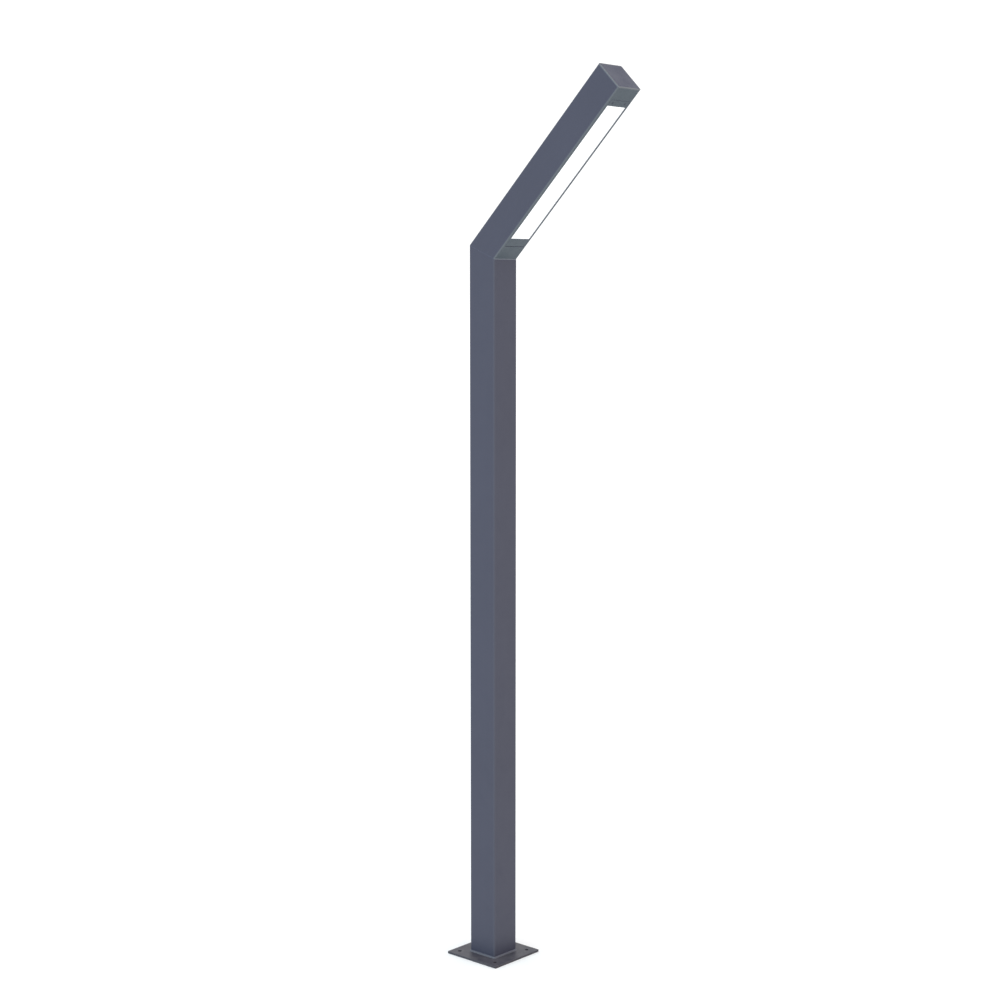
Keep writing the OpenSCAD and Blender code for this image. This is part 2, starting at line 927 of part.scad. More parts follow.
module diffuser_seal() {
    seal_x = ledge_x + ledge_t;
    color(black)
    in_head() translate([0, 0, panel_start + panel_len / 2])
        facing_x(seal_x, panel_x - seal_x) difference() {
            square([panel_w, panel_len], center = true);
            square([panel_w - 2 * ledge_w, panel_len - 2 * ledge_w], center = true);
        }
}

// Repeats children at the start of each LED board
module at_boards() {
    for (i = [0:board_count - 1])
        translate([board_x, 0, panel_start + board_space + i * (board_len + board_space)]) children();
}

module led_boards() {
    color(board_green)
    in_head() difference() {
        at_boards() box([0, -board_w / 2, 0], [board_t, board_w / 2, board_len]);
        translate([0, 0, lead_z]) bar_x(board_x - over, board_t + 2 * over, lead_d + 2 * run_gap);
    }
}

module leds() {
    pitch = board_len / leds_per_row;
    color(led_yellow)
    in_head() at_boards() for (i = [0:leds_per_row - 1], y = [-1, 1])
        translate([board_t, y * led_row_y - led_size / 2, (i + 0.5) * pitch - led_size / 2])
            cube([led_t, led_size, led_size]);
}

module board_screws() {
    color(stainless)
    in_head() at_boards() for (y = [-1, 1], z = [board_screw_inset, board_len - board_screw_inset])
        translate([board_t, y * (board_w / 2 - board_screw_inset), z]) {
            rotate([0, 90, 0]) cylinder(d = 6, h = 1.8);
        }
}

module board_connectors() {
    connector_w = 12;
    connector_h = 4;
    reach = 6;
    color(white)
    in_head() for (i = [1:board_count - 1])
        translate([board_x + board_t, -connector_w / 2,
            panel_start + i * (board_len + board_space) - reach])
            cube([connector_h, connector_w, board_space + 2 * reach]);
}

// Bent plate that lifts the driver off the web, with a screwed tab at each end
module driver_bracket() {
    low = driver_start - bracket_tab;
    high = driver_start + driver_len + bracket_tab;
    color(galvanised)
    in_head() {
        box([driver_x, -driver_w / 2, driver_start],
            [driver_x + bracket_t, driver_w / 2, driver_start + driver_len]);
        for (z = [driver_start, driver_start + driver_len - bracket_t])
            box([driver_x, -driver_w / 2, z], [web_x, driver_w / 2, z + bracket_t]);
        box([web_x - bracket_t, -driver_w / 2, low], [web_x, driver_w / 2, driver_start + bracket_t]);
        box([web_x - bracket_t, -driver_w / 2, driver_start + driver_len - bracket_t],
            [web_x, driver_w / 2, high]);
    }
}

module driver() {
    end_block = 10;
    rib_count = 9;
    rib_pitch = (driver_len - 2 * end_block) / rib_count;
    rib_h = 3;
    color(grey)
    in_head() translate([driver_x - driver_h, 0, driver_start]) {
        box([rib_h, -driver_w / 2, 0], [driver_h, driver_w / 2, driver_len]);
        for (end = [0, driver_len - end_block])
            box([0, -driver_w / 2, end], [rib_h, driver_w / 2, end + end_block]);
        for (i = [1:rib_count - 1])
            box([0, -driver_w / 2, end_block + i * rib_pitch - 1.5],
                [rib_h, driver_w / 2, end_block + i * rib_pitch + 1.5]);
    }
}

module surge_protector() {
    flange_t = 3;
    flange_len = 12;
    color(white)
    in_head() {
        box([web_x - surge_h, -surge_w / 2, surge_start],
            [web_x, surge_w / 2, surge_start + surge_len]);
        box([web_x - flange_t, -surge_w / 2, surge_start - flange_len],
            [web_x, surge_w / 2, surge_start + surge_len + flange_len]);
    }
}

module gear_screws() {
    spots = [
        [web_x - bracket_t, driver_start - bracket_tab / 2],
        [web_x - bracket_t, driver_start + driver_len + bracket_tab / 2],
        [web_x - 3, surge_start - 6],
        [web_x - 3, surge_start + surge_len + 6]
    ];
    color(stainless)
    in_head() for (spot = spots, y = [-1, 1])
        translate([spot[0], y * 12, spot[1]]) rotate([0, -90, 0]) cylinder(d = 7, h = 2.4);
}

// Lead from the driver's far end, bending through the web to the first board
module driver_lead() {
    bend_x = driver_x - driver_h / 2;
    run = -bend_x + web_x - lead_bend;
    color(black)
    in_head() translate([bend_x, 0, driver_start + driver_len]) {
        cylinder(d = lead_d, h = lead_z - lead_bend - driver_start - driver_len);
        translate([0, 0, lead_z - lead_bend - driver_start - driver_len]) {
            cable_bend(lead_bend, lead_d, 90);
            after_bend(lead_bend, 90) cylinder(d = lead_d, h = run + web_t + board_t + 1);
        }
    }
}

module captive_screws() {
    shank = seat_x - seat_t - latch_nut_h - 2;
    color(paint)
    in_head() for (y = [-1, 1]) translate([-captive_recess, y * captive_y, captive_z]) {
        bar_x(shank + captive_recess, -shank - captive_recess, captive_d);
        difference() {
            bar_x(0, captive_head_h, captive_head_d);
            translate([0.6, 0, 0]) rotate([0, 90, 0]) hex_bar(4, captive_head_h);
        }
    }
}

// Flexible cable from the fixed plug to the driver, with a loop of slack to one side
module jumper_cable() {
    color(black)
    in_head() translate([riser_head_x, 0, jumper_start]) rotate([0, 0, 90]) {
        cable_bend(jumper_bend, jumper_d, jumper_turn);
        after_bend(jumper_bend, jumper_turn) {
            cable_sleeve(jumper_d);
            translate([0, 0, sleeve_gap]) {
                cable_bend(jumper_bend, jumper_d, 2 * jumper_turn, -1);
                after_bend(jumper_bend, 2 * jumper_turn, -1) {
                    cable_sleeve(jumper_d);
                    translate([0, 0, sleeve_gap]) cable_bend(jumper_bend, jumper_d, jumper_turn);
                }
            }
        }
    }
}

// ---------------------------------------------------------------- output

base_plate();
base_weld();
column_tube();
mitre_weld();
head_tube();
head_end_cap();
door_frame();
door_hinge_brackets();
door_hinge_pins();
fuse_box_rail();
fuse_box();
fuse_box_lid();
fuse_lid_screws();
fuse_holder();
terminal_block();
cable_glands();
earth_stud();
earth_nuts();
earth_wire();
riser_cable();
socket_bracket();
cable_clamp();
supply_socket();
supply_plug();
tray_seat_frame();
tray_seal();
tray_hinge_ears();
latch_nuts();
service_door_panel();
door_gasket();
door_hinge_leaves();
lock_housing();
lock_nut();
lock_spindle();
lock_cam();
lock_cam_screw();
tray_extrusion();
tray_hinge_end();
tray_latch_end();
tray_end_screws();
tray_hinge_pin();
diffuser();
diffuser_seal();
led_boards();
leds();
board_screws();
board_connectors();
driver_bracket();
driver();
surge_protector();
gear_screws();
driver_lead();
captive_screws();
jumper_cable();
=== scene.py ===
"""Looks of the street lamp post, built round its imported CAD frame. All lengths are in metres."""

import json
import math

import bmesh
import bpy
from mathutils import Matrix, Vector


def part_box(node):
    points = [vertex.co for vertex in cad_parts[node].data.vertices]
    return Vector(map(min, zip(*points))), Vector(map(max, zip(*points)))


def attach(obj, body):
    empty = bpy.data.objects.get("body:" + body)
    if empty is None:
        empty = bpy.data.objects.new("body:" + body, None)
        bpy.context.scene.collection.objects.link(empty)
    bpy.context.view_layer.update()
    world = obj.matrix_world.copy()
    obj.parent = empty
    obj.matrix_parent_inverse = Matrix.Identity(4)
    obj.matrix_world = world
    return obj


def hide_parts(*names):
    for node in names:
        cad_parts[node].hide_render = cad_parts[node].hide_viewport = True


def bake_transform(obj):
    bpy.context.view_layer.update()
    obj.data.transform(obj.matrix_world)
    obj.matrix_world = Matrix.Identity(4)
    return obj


MM = 0.001
FULL_TURN = 2 * math.pi
HEAD_LEAN = math.radians(45)

# Camera: where it stands, where it looks and its lens
CAMERA_SPOT = (5.623, -6.181, 3.051)
CAMERA_YAW = math.radians(-42.08)
CAMERA_PITCH = math.radians(-6.366)
CAMERA_LENS = 66.84
SENSOR = 36.0

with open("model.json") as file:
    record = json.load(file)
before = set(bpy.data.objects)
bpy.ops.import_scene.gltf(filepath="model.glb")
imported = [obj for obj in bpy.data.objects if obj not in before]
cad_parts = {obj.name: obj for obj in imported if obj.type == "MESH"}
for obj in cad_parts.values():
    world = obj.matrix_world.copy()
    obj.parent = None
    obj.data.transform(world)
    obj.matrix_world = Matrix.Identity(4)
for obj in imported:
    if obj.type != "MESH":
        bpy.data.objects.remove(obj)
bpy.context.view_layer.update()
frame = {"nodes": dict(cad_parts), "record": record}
NODES = frame["nodes"]
NODE_BODY = {
    node: body
    for body, members in frame["record"]["behaviour"]["bodies"].items()
    for node in members
}
NODE_SLOT = {part["node"]: part["material_slot"] for part in frame["record"]["subparts"]}


# ---------------------------------------------------------------- places read from the frame

COLUMN_LOW, COLUMN_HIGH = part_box("column_tube")
TUBE_W = COLUMN_HIGH.y - COLUMN_LOW.y
FOLD_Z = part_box("mitre_weld")[0].z
X_AXIS, Y_AXIS, Z_AXIS = Vector((1, 0, 0)), Vector((0, 1, 0)), Vector((0, 0, 1))
IDENTITY = Matrix.Identity(4)


def find_head():
    """The head's own frame: z runs up its underside from the fold, x points out of the underside."""
    turn = Matrix.Rotation(HEAD_LEAN, 4, "Y")
    back = turn.inverted()
    cap = [back @ vertex.co for vertex in NODES["head_end_cap"].data.vertices]
    underside = max(point.x for point in cap)
    # The underside's plane meets the column's front face at the fold
    along = (TUBE_W / 2 - underside * math.cos(HEAD_LEAN)) / math.sin(HEAD_LEAN)
    return Matrix.Translation(turn @ Vector((underside, 0, along))) @ turn


HEAD = find_head()


def solids(node, place=IDENTITY):
    """Lowest and highest corners of each separate solid of a CAD node, in the frame of place."""
    mesh = NODES[node].data
    back = place.inverted()
    spots = [back @ vertex.co for vertex in mesh.vertices]
    keys = [tuple(round(value, 6) for value in spot) for spot in spots]
    leader = {key: key for key in keys}

    def root(key):
        while leader[key] != key:
            leader[key] = leader[leader[key]]
            key = leader[key]
        return key

    for polygon in mesh.polygons:
        first = root(keys[polygon.vertices[0]])
        for index in polygon.vertices[1:]:
            leader[root(keys[index])] = first
    groups = {}
    for key, spot in zip(keys, spots):
        groups.setdefault(root(key), []).append(spot)
    boxes = []
    for points in groups.values():
        low = Vector([min(point[i] for point in points) for i in range(3)])
        high = Vector([max(point[i] for point in points) for i in range(3)])
        boxes.append((low, high))
    return sorted(boxes, key=lambda box: tuple(round(value, 5) for value in box[0]))


def place_box(node, place=IDENTITY):
    """Lowest and highest corners of a whole CAD node, in the frame of place."""
    boxes = solids(node, place)
    low = Vector([min(box[0][i] for box in boxes) for i in range(3)])
    high = Vector([max(box[1][i] for box in boxes) for i in range(3)])
    return low, high


# ---------------------------------------------------------------- material helpers

# A rounded normal this close to the true one is on a flat
NEARLY_FLAT = 0.995
# Sockets of a mix node that take its share and its two colours, and the one that gives its colour
MIX_SHARE, MIX_FIRST, MIX_SECOND = 0, 6, 7
MIX_RESULT = 2


class Shader:
    """A node material under construction, ending in one Principled BSDF."""

    def __init__(self, name):
        self.material = bpy.data.materials.new(name)
        self.material.use_nodes = True
        self.tree = self.material.node_tree
        self.bsdf = self.tree.nodes["Principled BSDF"]
        self.coords = self.add("ShaderNodeTexCoord").outputs["Object"]

    def add(self, kind, **settings):
        node = self.tree.nodes.new(kind)
        for key, value in settings.items():
            setattr(node, key, value)
        return node

    def link(self, source, target):
        self.tree.links.new(source, target)

    def set(self, **values):
        """Sets sockets of the BSDF, with spaces written as underscores."""
        for key, value in values.items():
            self.bsdf.inputs[key.replace("_", " ")].default_value = value

    def stretched(self, scale, lean=0.0):
        """Object coordinates, turned by lean about Y and scaled along each axis."""
        turned = self.add("ShaderNodeMapping")
        turned.inputs["Rotation"].default_value = (0, -lean, 0)
        self.link(self.coords, turned.inputs["Vector"])
        mapping = self.add("ShaderNodeMapping")
        mapping.inputs["Scale"].default_value = scale
        self.link(turned.outputs["Vector"], mapping.inputs["Vector"])
        return mapping.outputs["Vector"]

    def noise(self, scale, detail, rough=0.5, vector=None):
        node = self.add("ShaderNodeTexNoise")
        node.inputs["Scale"].default_value = scale
        node.inputs["Detail"].default_value = detail
        node.inputs["Roughness"].default_value = rough
        self.link(vector or self.coords, node.inputs["Vector"])
        return node.outputs["Fac"]

    def ramp(self, value, low, high, start=0.0, end=1.0):
        """Colours from low to high as value goes from start to end."""
        node = self.add("ShaderNodeValToRGB")
        node.color_ramp.elements[0].position = start
        node.color_ramp.elements[1].position = end
        node.color_ramp.elements[0].color = (*low, 1)
        node.color_ramp.elements[1].color = (*high, 1)
        self.link(value, node.inputs["Fac"])
        return node.outputs["Color"]

    def span(self, value, low, high, start=0.0, end=1.0):
        """A number from low to high as value goes from start to end."""
        node = self.add("ShaderNodeMapRange")
        limits = {"From Min": start, "From Max": end, "To Min": low, "To Max": high}
        for socket, limit in limits.items():
            node.inputs[socket].default_value = limit
        self.link(value, node.inputs["Value"])
        return node.outputs["Result"]

    def mix(self, share, first, second):
        """Colour from first to second as share goes from 0 to 1. Second is a plain colour."""
        node = self.add("ShaderNodeMix", data_type="RGBA")
        self.link(share, node.inputs[MIX_SHARE])
        self.link(first, node.inputs[MIX_FIRST])
        node.inputs[MIX_SECOND].default_value = (*second, 1)
        return node.outputs[MIX_RESULT]

    def normal(self):
        return self.add("ShaderNodeNewGeometry").outputs["Normal"]

    def dot(self, first, second):
        """Dot product of two vectors. The second is a socket or three numbers."""
        node = self.add("ShaderNodeVectorMath", operation="DOT_PRODUCT")
        self.link(first, node.inputs[0])
        if isinstance(second, bpy.types.NodeSocket):
            self.link(second, node.inputs[1])
        else:
            node.inputs[1].default_value = second
        return node.outputs["Value"]

    def edges(self, radius, reach):
        """Near 1 along edges within radius, and 0 on flats. Reach sets how soon it fades."""
        rounded = self.add("ShaderNodeBevel", samples=4)
        rounded.inputs["Radius"].default_value = radius
        return self.span(self.dot(rounded.outputs["Normal"], self.normal()), 1.0, 0.0, reach, NEARLY_FLAT)

    def number(self, operation, first, second):
        """Arithmetic on two numbers."""
        node = self.add("ShaderNodeMath", operation=operation)
        self.link(first, node.inputs[0])
        self.link(second, node.inputs[1])
        return node.outputs["Value"]

    def box_edges(self, place, half, width):
        """1 along the edges of a box, fading to 0 on its faces. Place is its middle, half its half sides."""
        back = place.inverted()
        turned = self.add("ShaderNodeMapping")
        turned.inputs["Location"].default_value = back.translation
        turned.inputs["Rotation"].default_value = back.to_euler()
        self.link(self.coords, turned.inputs["Vector"])
        away = self.add("ShaderNodeVectorMath", operation="ABSOLUTE")
        self.link(turned.outputs["Vector"], away.inputs[0])
        split = self.add("ShaderNodeSeparateXYZ")
        self.link(away.outputs["Vector"], split.inputs["Vector"])
        x, y, z = (self.span(side, 0, 1, reach - width, reach) for side, reach in zip(split.outputs, half))
        ends = self.number("MAXIMUM", self.number("MULTIPLY", x, z), self.number("MULTIPLY", y, z))
        return self.number("MAXIMUM", self.number("MULTIPLY", x, y), ends)

    def colour(self, value):
        self.link(value, self.bsdf.inputs["Base Color"])

    def roughness(self, value):
        self.link(value, self.bsdf.inputs["Roughness"])

    def bump(self, height, distance, strength):
        """Adds a bump on top of any that is there already."""
        node = self.add("ShaderNodeBump")
        node.inputs["Distance"].default_value = distance
        node.inputs["Strength"].default_value = strength
        previous = self.bsdf.inputs["Normal"].links
        if previous:
            self.link(previous[0].from_socket, node.inputs["Normal"])
        self.link(height, node.inputs["Height"])
        self.link(node.outputs["Normal"], self.bsdf.inputs["Normal"])


# Most of a noise's values lie between these
MIDDLE = {"start": 0.3, "end": 0.7}
# Where the stripe of an earth wire starts, as a share of the way round it
STRIPE_START = 0.62
# How the paint's colour changes: painted light from below, lighter and greener, on surfaces that face down,
# painted sky light, bluer, on those that face up, under the dust that settles on level ones, in rain
# streaks, in specks, and in a painted highlight along edges, where the coat is also thin
DOWNWARD_PAINTED_LIGHT_TINT = (1.12, 1.44, 1.18)
UPWARD_PAINTED_SKYLIGHT_TINT = (1.00, 1.06, 1.17)
DUST_TINT = (1.75, 1.75, 1.70)
STREAK_FACTOR = 1.3
SPECK_FACTOR = 0.7
THIN_EDGE_PAINTED_HIGHLIGHT_FACTOR = 1.9


def shade(colour, factor):
    return tuple(channel * factor for channel in colour)


def tint(colour, factors):
    return tuple(channel * factor for channel, factor in zip(colour, factors))


def powder_coat(name, base, specular=0.35, lean=0.0, corner=None):
    """Satin powder coat: orange peel, rain streaks, dust, a painted highlight on thin edges, painted light
    from below on surfaces that face down and painted sky light on those that face up.

    Corner is the box whose edges get a painted highlight, how wide it is, and how much lighter they get.
    """
    s = Shader(name)
    drift = s.ramp(s.noise(1.6, detail=3), shade(base, 0.97), shade(base, 1.03), start=0.35, end=0.65)
    streaks = s.noise(1.0, detail=5, rough=0.6, vector=s.stretched((45, 45, 1.2), lean))
    tone = s.mix(s.span(streaks, 0.0, 0.08, start=0.45, end=0.8), drift, shade(base, STREAK_FACTOR))
    speck = s.noise(900, detail=2)
    tone = s.mix(s.span(speck, 0.0, 0.3, start=0.55, end=0.7), tone, shade(base, SPECK_FACTOR))
    # 1 on surfaces that face straight down, -1 on those that face straight up
    facing = s.dot(s.normal(), (0, 0, -1))
    # Painted light from below: surfaces that face down are made lighter and greener
    tone = s.mix(s.span(facing, 0.0, 1.0, start=0.2, end=0.6), tone, tint(base, DOWNWARD_PAINTED_LIGHT_TINT))
    # Painted sky light: surfaces that face up are made bluer
    tone = s.mix(s.span(facing, 0.0, 1.0, start=-0.3, end=-0.7), tone, tint(base, UPWARD_PAINTED_SKYLIGHT_TINT))
    settled = s.span(s.noise(26, detail=6, rough=0.65), 0.1, 0.75, start=0.42, end=0.62)
    dust = s.number("MULTIPLY", s.span(facing, 0.0, 1.0, start=-0.9, end=-0.98), settled)
    tone = s.mix(dust, tone, tint(base, DUST_TINT))
    # Painted highlight along edges, where the coat is also thin
    tone = s.mix(s.edges(radius=2 * MM, reach=0.8), tone, shade(base, THIN_EDGE_PAINTED_HIGHLIGHT_FACTOR))
    if corner:
        place, half, width, factors = corner
        # Painted highlight along the edges of the given box
        tone = s.mix(s.box_edges(place, half, width), tone, tint(base, factors))
    s.colour(tone)
    s.roughness(s.span(s.noise(14, detail=4), 0.40, 0.52, **MIDDLE))
    s.set(Specular_IOR_Level=specular)
    s.bump(s.noise(420, detail=2), distance=0.12 * MM, strength=0.8)
    s.bump(s.noise(40, detail=2), distance=0.4 * MM, strength=0.12)
    return s.material


def zinc(name):
    """Hot-dip zinc: soft spangle cells on a dull bright metal."""
    s = Shader(name)
    cell = s.add("ShaderNodeTexVoronoi", feature="F1")
    cell.inputs["Scale"].default_value = 130
    s.link(s.coords, cell.inputs["Vector"])
    tone = s.add("ShaderNodeSeparateColor")
    s.link(cell.outputs["Color"], tone.inputs["Color"])
    s.colour(s.ramp(tone.outputs["Red"], (0.24, 0.255, 0.27), (0.40, 0.415, 0.43)))
    s.roughness(s.span(tone.outputs["Green"], 0.34, 0.55))
    s.set(Metallic=0.9)
    s.bump(s.noise(700, detail=3), distance=0.1 * MM, strength=0.4)
    return s.material


def drawn_metal(name, base, rough):
    """Turned or drawn metal with fine tool lines and slight staining."""
    s = Shader(name)
    lines = s.noise(1.0, detail=3, rough=0.6, vector=s.stretched((300, 300, 9000)))
    s.colour(s.ramp(s.noise(180, detail=3), shade(base, 0.85), shade(base, 1.08), **MIDDLE))
    s.roughness(s.span(lines, rough - 0.06, rough + 0.10, **MIDDLE))
    s.set(Metallic=1.0)
    s.bump(lines, distance=0.05 * MM, strength=0.35)
    return s.material


def moulded(name, base, rough):
    """Moulded plastic with a fine spark-eroded grain."""
    s = Shader(name)
    s.colour(s.ramp(s.noise(25, detail=4), shade(base, 0.93), shade(base, 1.07), **MIDDLE))
    s.roughness(s.span(s.noise(60, detail=3), rough - 0.06, rough + 0.08, **MIDDLE))
    s.set(Specular_IOR_Level=0.4)
    s.bump(s.noise(1600, detail=2), distance=0.06 * MM, strength=0.5)
    return s.material


def rubber(name, base):
    """Matt cable sheath or seal, slightly bloomed."""
    s = Shader(name)
    bloom = s.noise(90, detail=5, rough=0.65)
    s.colour(s.ramp(bloom, base, shade(base, 2.2), start=0.45, end=0.85))
    s.roughness(s.span(bloom, 0.62, 0.82))
    s.set(Specular_IOR_Level=0.3)
    s.bump(s.noise(1100, detail=2), distance=0.08 * MM, strength=0.5)
    return s.material


def striped_sheath(name, base, stripe):
    """Two-colour earth wire: a stripe down one side of the sheath, by the sweep's own UVs."""
    s = Shader(name)
    split = s.add("ShaderNodeSeparateXYZ")
    s.link(s.add("ShaderNodeTexCoord").outputs["UV"], split.inputs["Vector"])
    edge = s.add("ShaderNodeMath", operation="GREATER_THAN")
    edge.inputs[1].default_value = STRIPE_START
    s.link(split.outputs["X"], edge.inputs[0])
    toned = s.ramp(s.noise(150, detail=3), shade(base, 0.9), shade(base, 1.1), **MIDDLE)
    s.colour(s.mix(edge.outputs[0], toned, stripe))
    s.roughness(s.span(s.noise(200, detail=3), 0.38, 0.5))
    s.bump(s.noise(900, detail=2), distance=0.05 * MM, strength=0.4)
    return s.material


def extruded(name, base):
    """Clear anodised extrusion with die lines along the head."""
    s = Shader(name)
    lines = s.noise(1.0, detail=2, rough=0.5, vector=s.stretched((2600, 2600, 3), HEAD_LEAN))
    s.colour(s.ramp(s.noise(12, detail=3), shade(base, 0.92), shade(base, 1.05), **MIDDLE))
    s.roughness(s.span(lines, 0.26, 0.42, **MIDDLE))
    s.set(Metallic=1.0)
    s.bump(lines, distance=0.04 * MM, strength=0.3)
    return s.material


def opal(name, strength):
    """Opal acrylic lit evenly from behind, with a satin skin."""
    s = Shader(name)
    tone = s.ramp(s.noise(6, detail=3), (0.93, 0.94, 0.94), (0.97, 0.97, 0.965), **MIDDLE)
    s.colour(tone)
    s.link(tone, s.bsdf.inputs["Emission Color"])
    s.set(Emission_Strength=strength, Specular_IOR_Level=0.4)
    s.roughness(s.span(s.noise(120, detail=3), 0.28, 0.4))
    s.bump(s.noise(500, detail=2), distance=0.04 * MM, strength=0.3)
    return s.material


def solder_mask(name, base):
    """White solder mask over copper: wide pours with thin gaps between them."""
    s = Shader(name)
    swap = s.add("ShaderNodeSeparateXYZ")
    s.link(s.stretched((1, 1, 1), HEAD_LEAN), swap.inputs["Vector"])
    flat = s.add("ShaderNodeCombineXYZ")
    s.link(swap.outputs["Y"], flat.inputs["X"])
    s.link(swap.outputs["Z"], flat.inputs["Y"])
    pour = s.add("ShaderNodeTexBrick")
    sizes = {"Scale": 1, "Brick Width": 30 * MM, "Row Height": 10.5 * MM, "Mortar Size": 0.4 * MM}
    for socket, size in sizes.items():
        pour.inputs[socket].default_value = size
    for socket, factor in {"Color1": 1.0, "Color2": 0.97, "Mortar": 0.78}.items():
        pour.inputs[socket].default_value = (*shade(base, factor), 1)
    s.link(flat.outputs["Vector"], pour.inputs["Vector"])
    s.colour(pour.outputs["Color"])
    s.roughness(s.span(s.noise(200, detail=3), 0.28, 0.4))
    s.bump(pour.outputs["Fac"], distance=0.05 * MM, strength=0.5)
    return s.material


PAINT = (0.0485, 0.0492, 0.0745)
MATERIALS = {
    "painted_steel": powder_coat("painted_steel_look", PAINT),
    "galvanised_steel": zinc("zinc_look"),
    "stainless_steel": drawn_metal("stainless_look", (0.42, 0.42, 0.43), 0.30),
    "brass": drawn_metal("brass_look", (0.52, 0.36, 0.14), 0.28),
    "grey_plastic": moulded("grey_plastic_look", (0.26, 0.28, 0.30), 0.48),
    "black_plastic": moulded("black_plastic_look", (0.016, 0.016, 0.018), 0.42),
    "white_plastic": moulded("white_plastic_look", (0.72, 0.72, 0.69), 0.38),
    "black_rubber": rubber("rubber_look", (0.012, 0.012, 0.013)),
    "earth_wire": striped_sheath("earth_sheath_look", (0.08, 0.32, 0.03), (0.80, 0.62, 0.03)),
    "aluminium": extruded("extrusion_look", (0.50, 0.51, 0.53)),
    "opal_panel": opal("opal_look", strength=0.2),
    "circuit_board": solder_mask("solder_mask_look", (0.82, 0.83, 0.82)),
    "led_package": moulded("phosphor_look", (0.85, 0.62, 0.12), 0.35),
}

# Half sides of boxes whose edges get a painted highlight: the column's long edges, the fold's inner corner,
# the head
HALF_TUBE = TUBE_W / 2
ENDLESS = 100
COLUMN_BOX = (HALF_TUBE, HALF_TUBE, ENDLESS)
FOLD_BOX = (HALF_TUBE, ENDLESS, FOLD_Z)
HEAD_BOX = (HALF_TUBE, HALF_TUBE, place_box("head_end_cap", HEAD)[1].z)
HEAD_MIDDLE = HEAD @ Matrix.Translation((-HALF_TUBE, 0, 0))

PLATE_PAINT = powder_coat("base_plate_look", (0.056, 0.053, 0.063), specular=0.2)
# Lighter paint for the base weld: a painted highlight round the column's foot
WELD_HIGHLIGHT_PAINT = powder_coat("weld_look", (0.092, 0.091, 0.106))
# Copies of the same paint, each with a painted highlight along the edges of its box
FOLD_WELD_PAINT = powder_coat(
    "fold_weld_look", PAINT, corner=(IDENTITY, FOLD_BOX, 5 * MM, (3.4, 3.6, 2.8)),
)
COLUMN_PAINT = powder_coat(
    "column_paint_look", PAINT, corner=(IDENTITY, COLUMN_BOX, 9 * MM, (1.36, 1.38, 1.22)),
)
HEAD_PAINT = powder_coat(
    "head_paint_look", PAINT, lean=HEAD_LEAN, corner=(HEAD_MIDDLE, HEAD_BOX, 7 * MM, (3.0, 3.1, 2.2)),
)


# ---------------------------------------------------------------- mesh helpers

# Angle above which an edge of a CAD mesh is a real edge, and the distance within which its corners are one
CRISP_ANGLE = math.radians(40)
SAME_SPOT = 1e-6
# Radius of the flat on a hexagon's end, as a share of the width across its flats
HEX_FACE = 0.47


def put(name, work, node, place=IDENTITY, beside=False, slot=None, sharp=35, ride=True):
    """Stands a piece made in bmesh in for a CAD node, or beside it, on its body."""
    slot = slot or NODE_SLOT[node]
    bmesh.ops.transform(work, matrix=place, verts=work.verts)
    bmesh.ops.recalc_face_normals(work, faces=work.faces)
    mesh = bpy.data.meshes.new(name)
    work.to_mesh(mesh)
    work.free()
    piece = bpy.data.objects.new(name, mesh)
    bpy.context.scene.collection.objects.link(piece)
    mesh.materials.append(MATERIALS[slot])
    for polygon in mesh.polygons:
        polygon.use_smooth = True
    mesh.set_sharp_from_angle(angle=math.radians(sharp))
    if not beside:
        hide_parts(node)
    if ride:
        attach(piece, NODE_BODY[node])
    return piece


def bridge(work, first, second):
    """Quads between two closed loops of the same length."""
    for i in range(len(first)):
        j = (i + 1) % len(first)
        work.faces.new((first[i], first[j], second[j], second[i]))


def loft(work, rings, closed=False):
    """Skin over rings of points. It is capped at both ends, or joined end to end when closed."""
    loops = [[work.verts.new(point) for point in ring] for ring in rings]
    for first, second in zip(loops, loops[1:]):
        bridge(work, first, second)
    if closed:
        bridge(work, loops[-1], loops[0])
    else:
        work.faces.new(loops[0])
        work.faces.new(loops[-1])
    return loops


def turned(work, place, rings, closed=False, count=48):
    """Turned body about z. Each ring is (radius, z), or a function of the angle that gives both."""
    loops = []
    for ring in rings:
        loop = []
        for i in range(count):
            angle = FULL_TURN * i / count
            radius, z = ring(angle) if callable(ring) else ring
            loop.append(place @ Vector((radius * math.cos(angle), radius * math.sin(angle), z)))
        loops.append(loop)
    loft(work, loops, closed)


def hex_radius(angle, flats):
    """Distance from the middle of a hexagon to its edge."""
    sixth = FULL_TURN / 6
    return flats / 2 / math.cos((angle + sixth / 2) % sixth - sixth / 2)


def hex_ring(flats, z):
    """Ring of a turned body with six flats."""
    return lambda angle: (hex_radius(angle, flats), z)


def hex_nut(work, place, flats, height, bore):
    """Nut standing on z = 0 with its corners chamfered top and bottom."""
    face = HEX_FACE * flats
    lead = 0.5 * MM
    slope = math.tan(math.radians(30))

    def bottom(angle):
        radius = hex_radius(angle, flats)
        return radius, slope * (radius - face)

    def top(angle):
        radius = hex_radius(angle, flats)
        return radius, height - slope * (radius - face)

    rings = [
        (bore, lead), (bore + lead, 0), (face, 0), bottom, top,
        (face, height), (bore + lead, height), (bore, height - lead),
    ]
    turned(work, place, rings, closed=True)


def pan_head(work, place, radius, height, drive):
    """Pan head standing on z = 0, with a hexagon socket in its dome."""
    rim = 0.45
    rings = [(radius, 0), (radius, rim * height)]
    for step in (0.35, 0.6, 0.8, 0.93):
        rings.append((radius * (1 - 0.3 * step**3), height * (rim + 0.5 * step)))
    rings += [
        (0.62 * drive, height), hex_ring(drive, 0.97 * height), hex_ring(drive, 0.42 * height),
        (0.1 * drive, 0.36 * height),
    ]
    turned(work, place, rings)


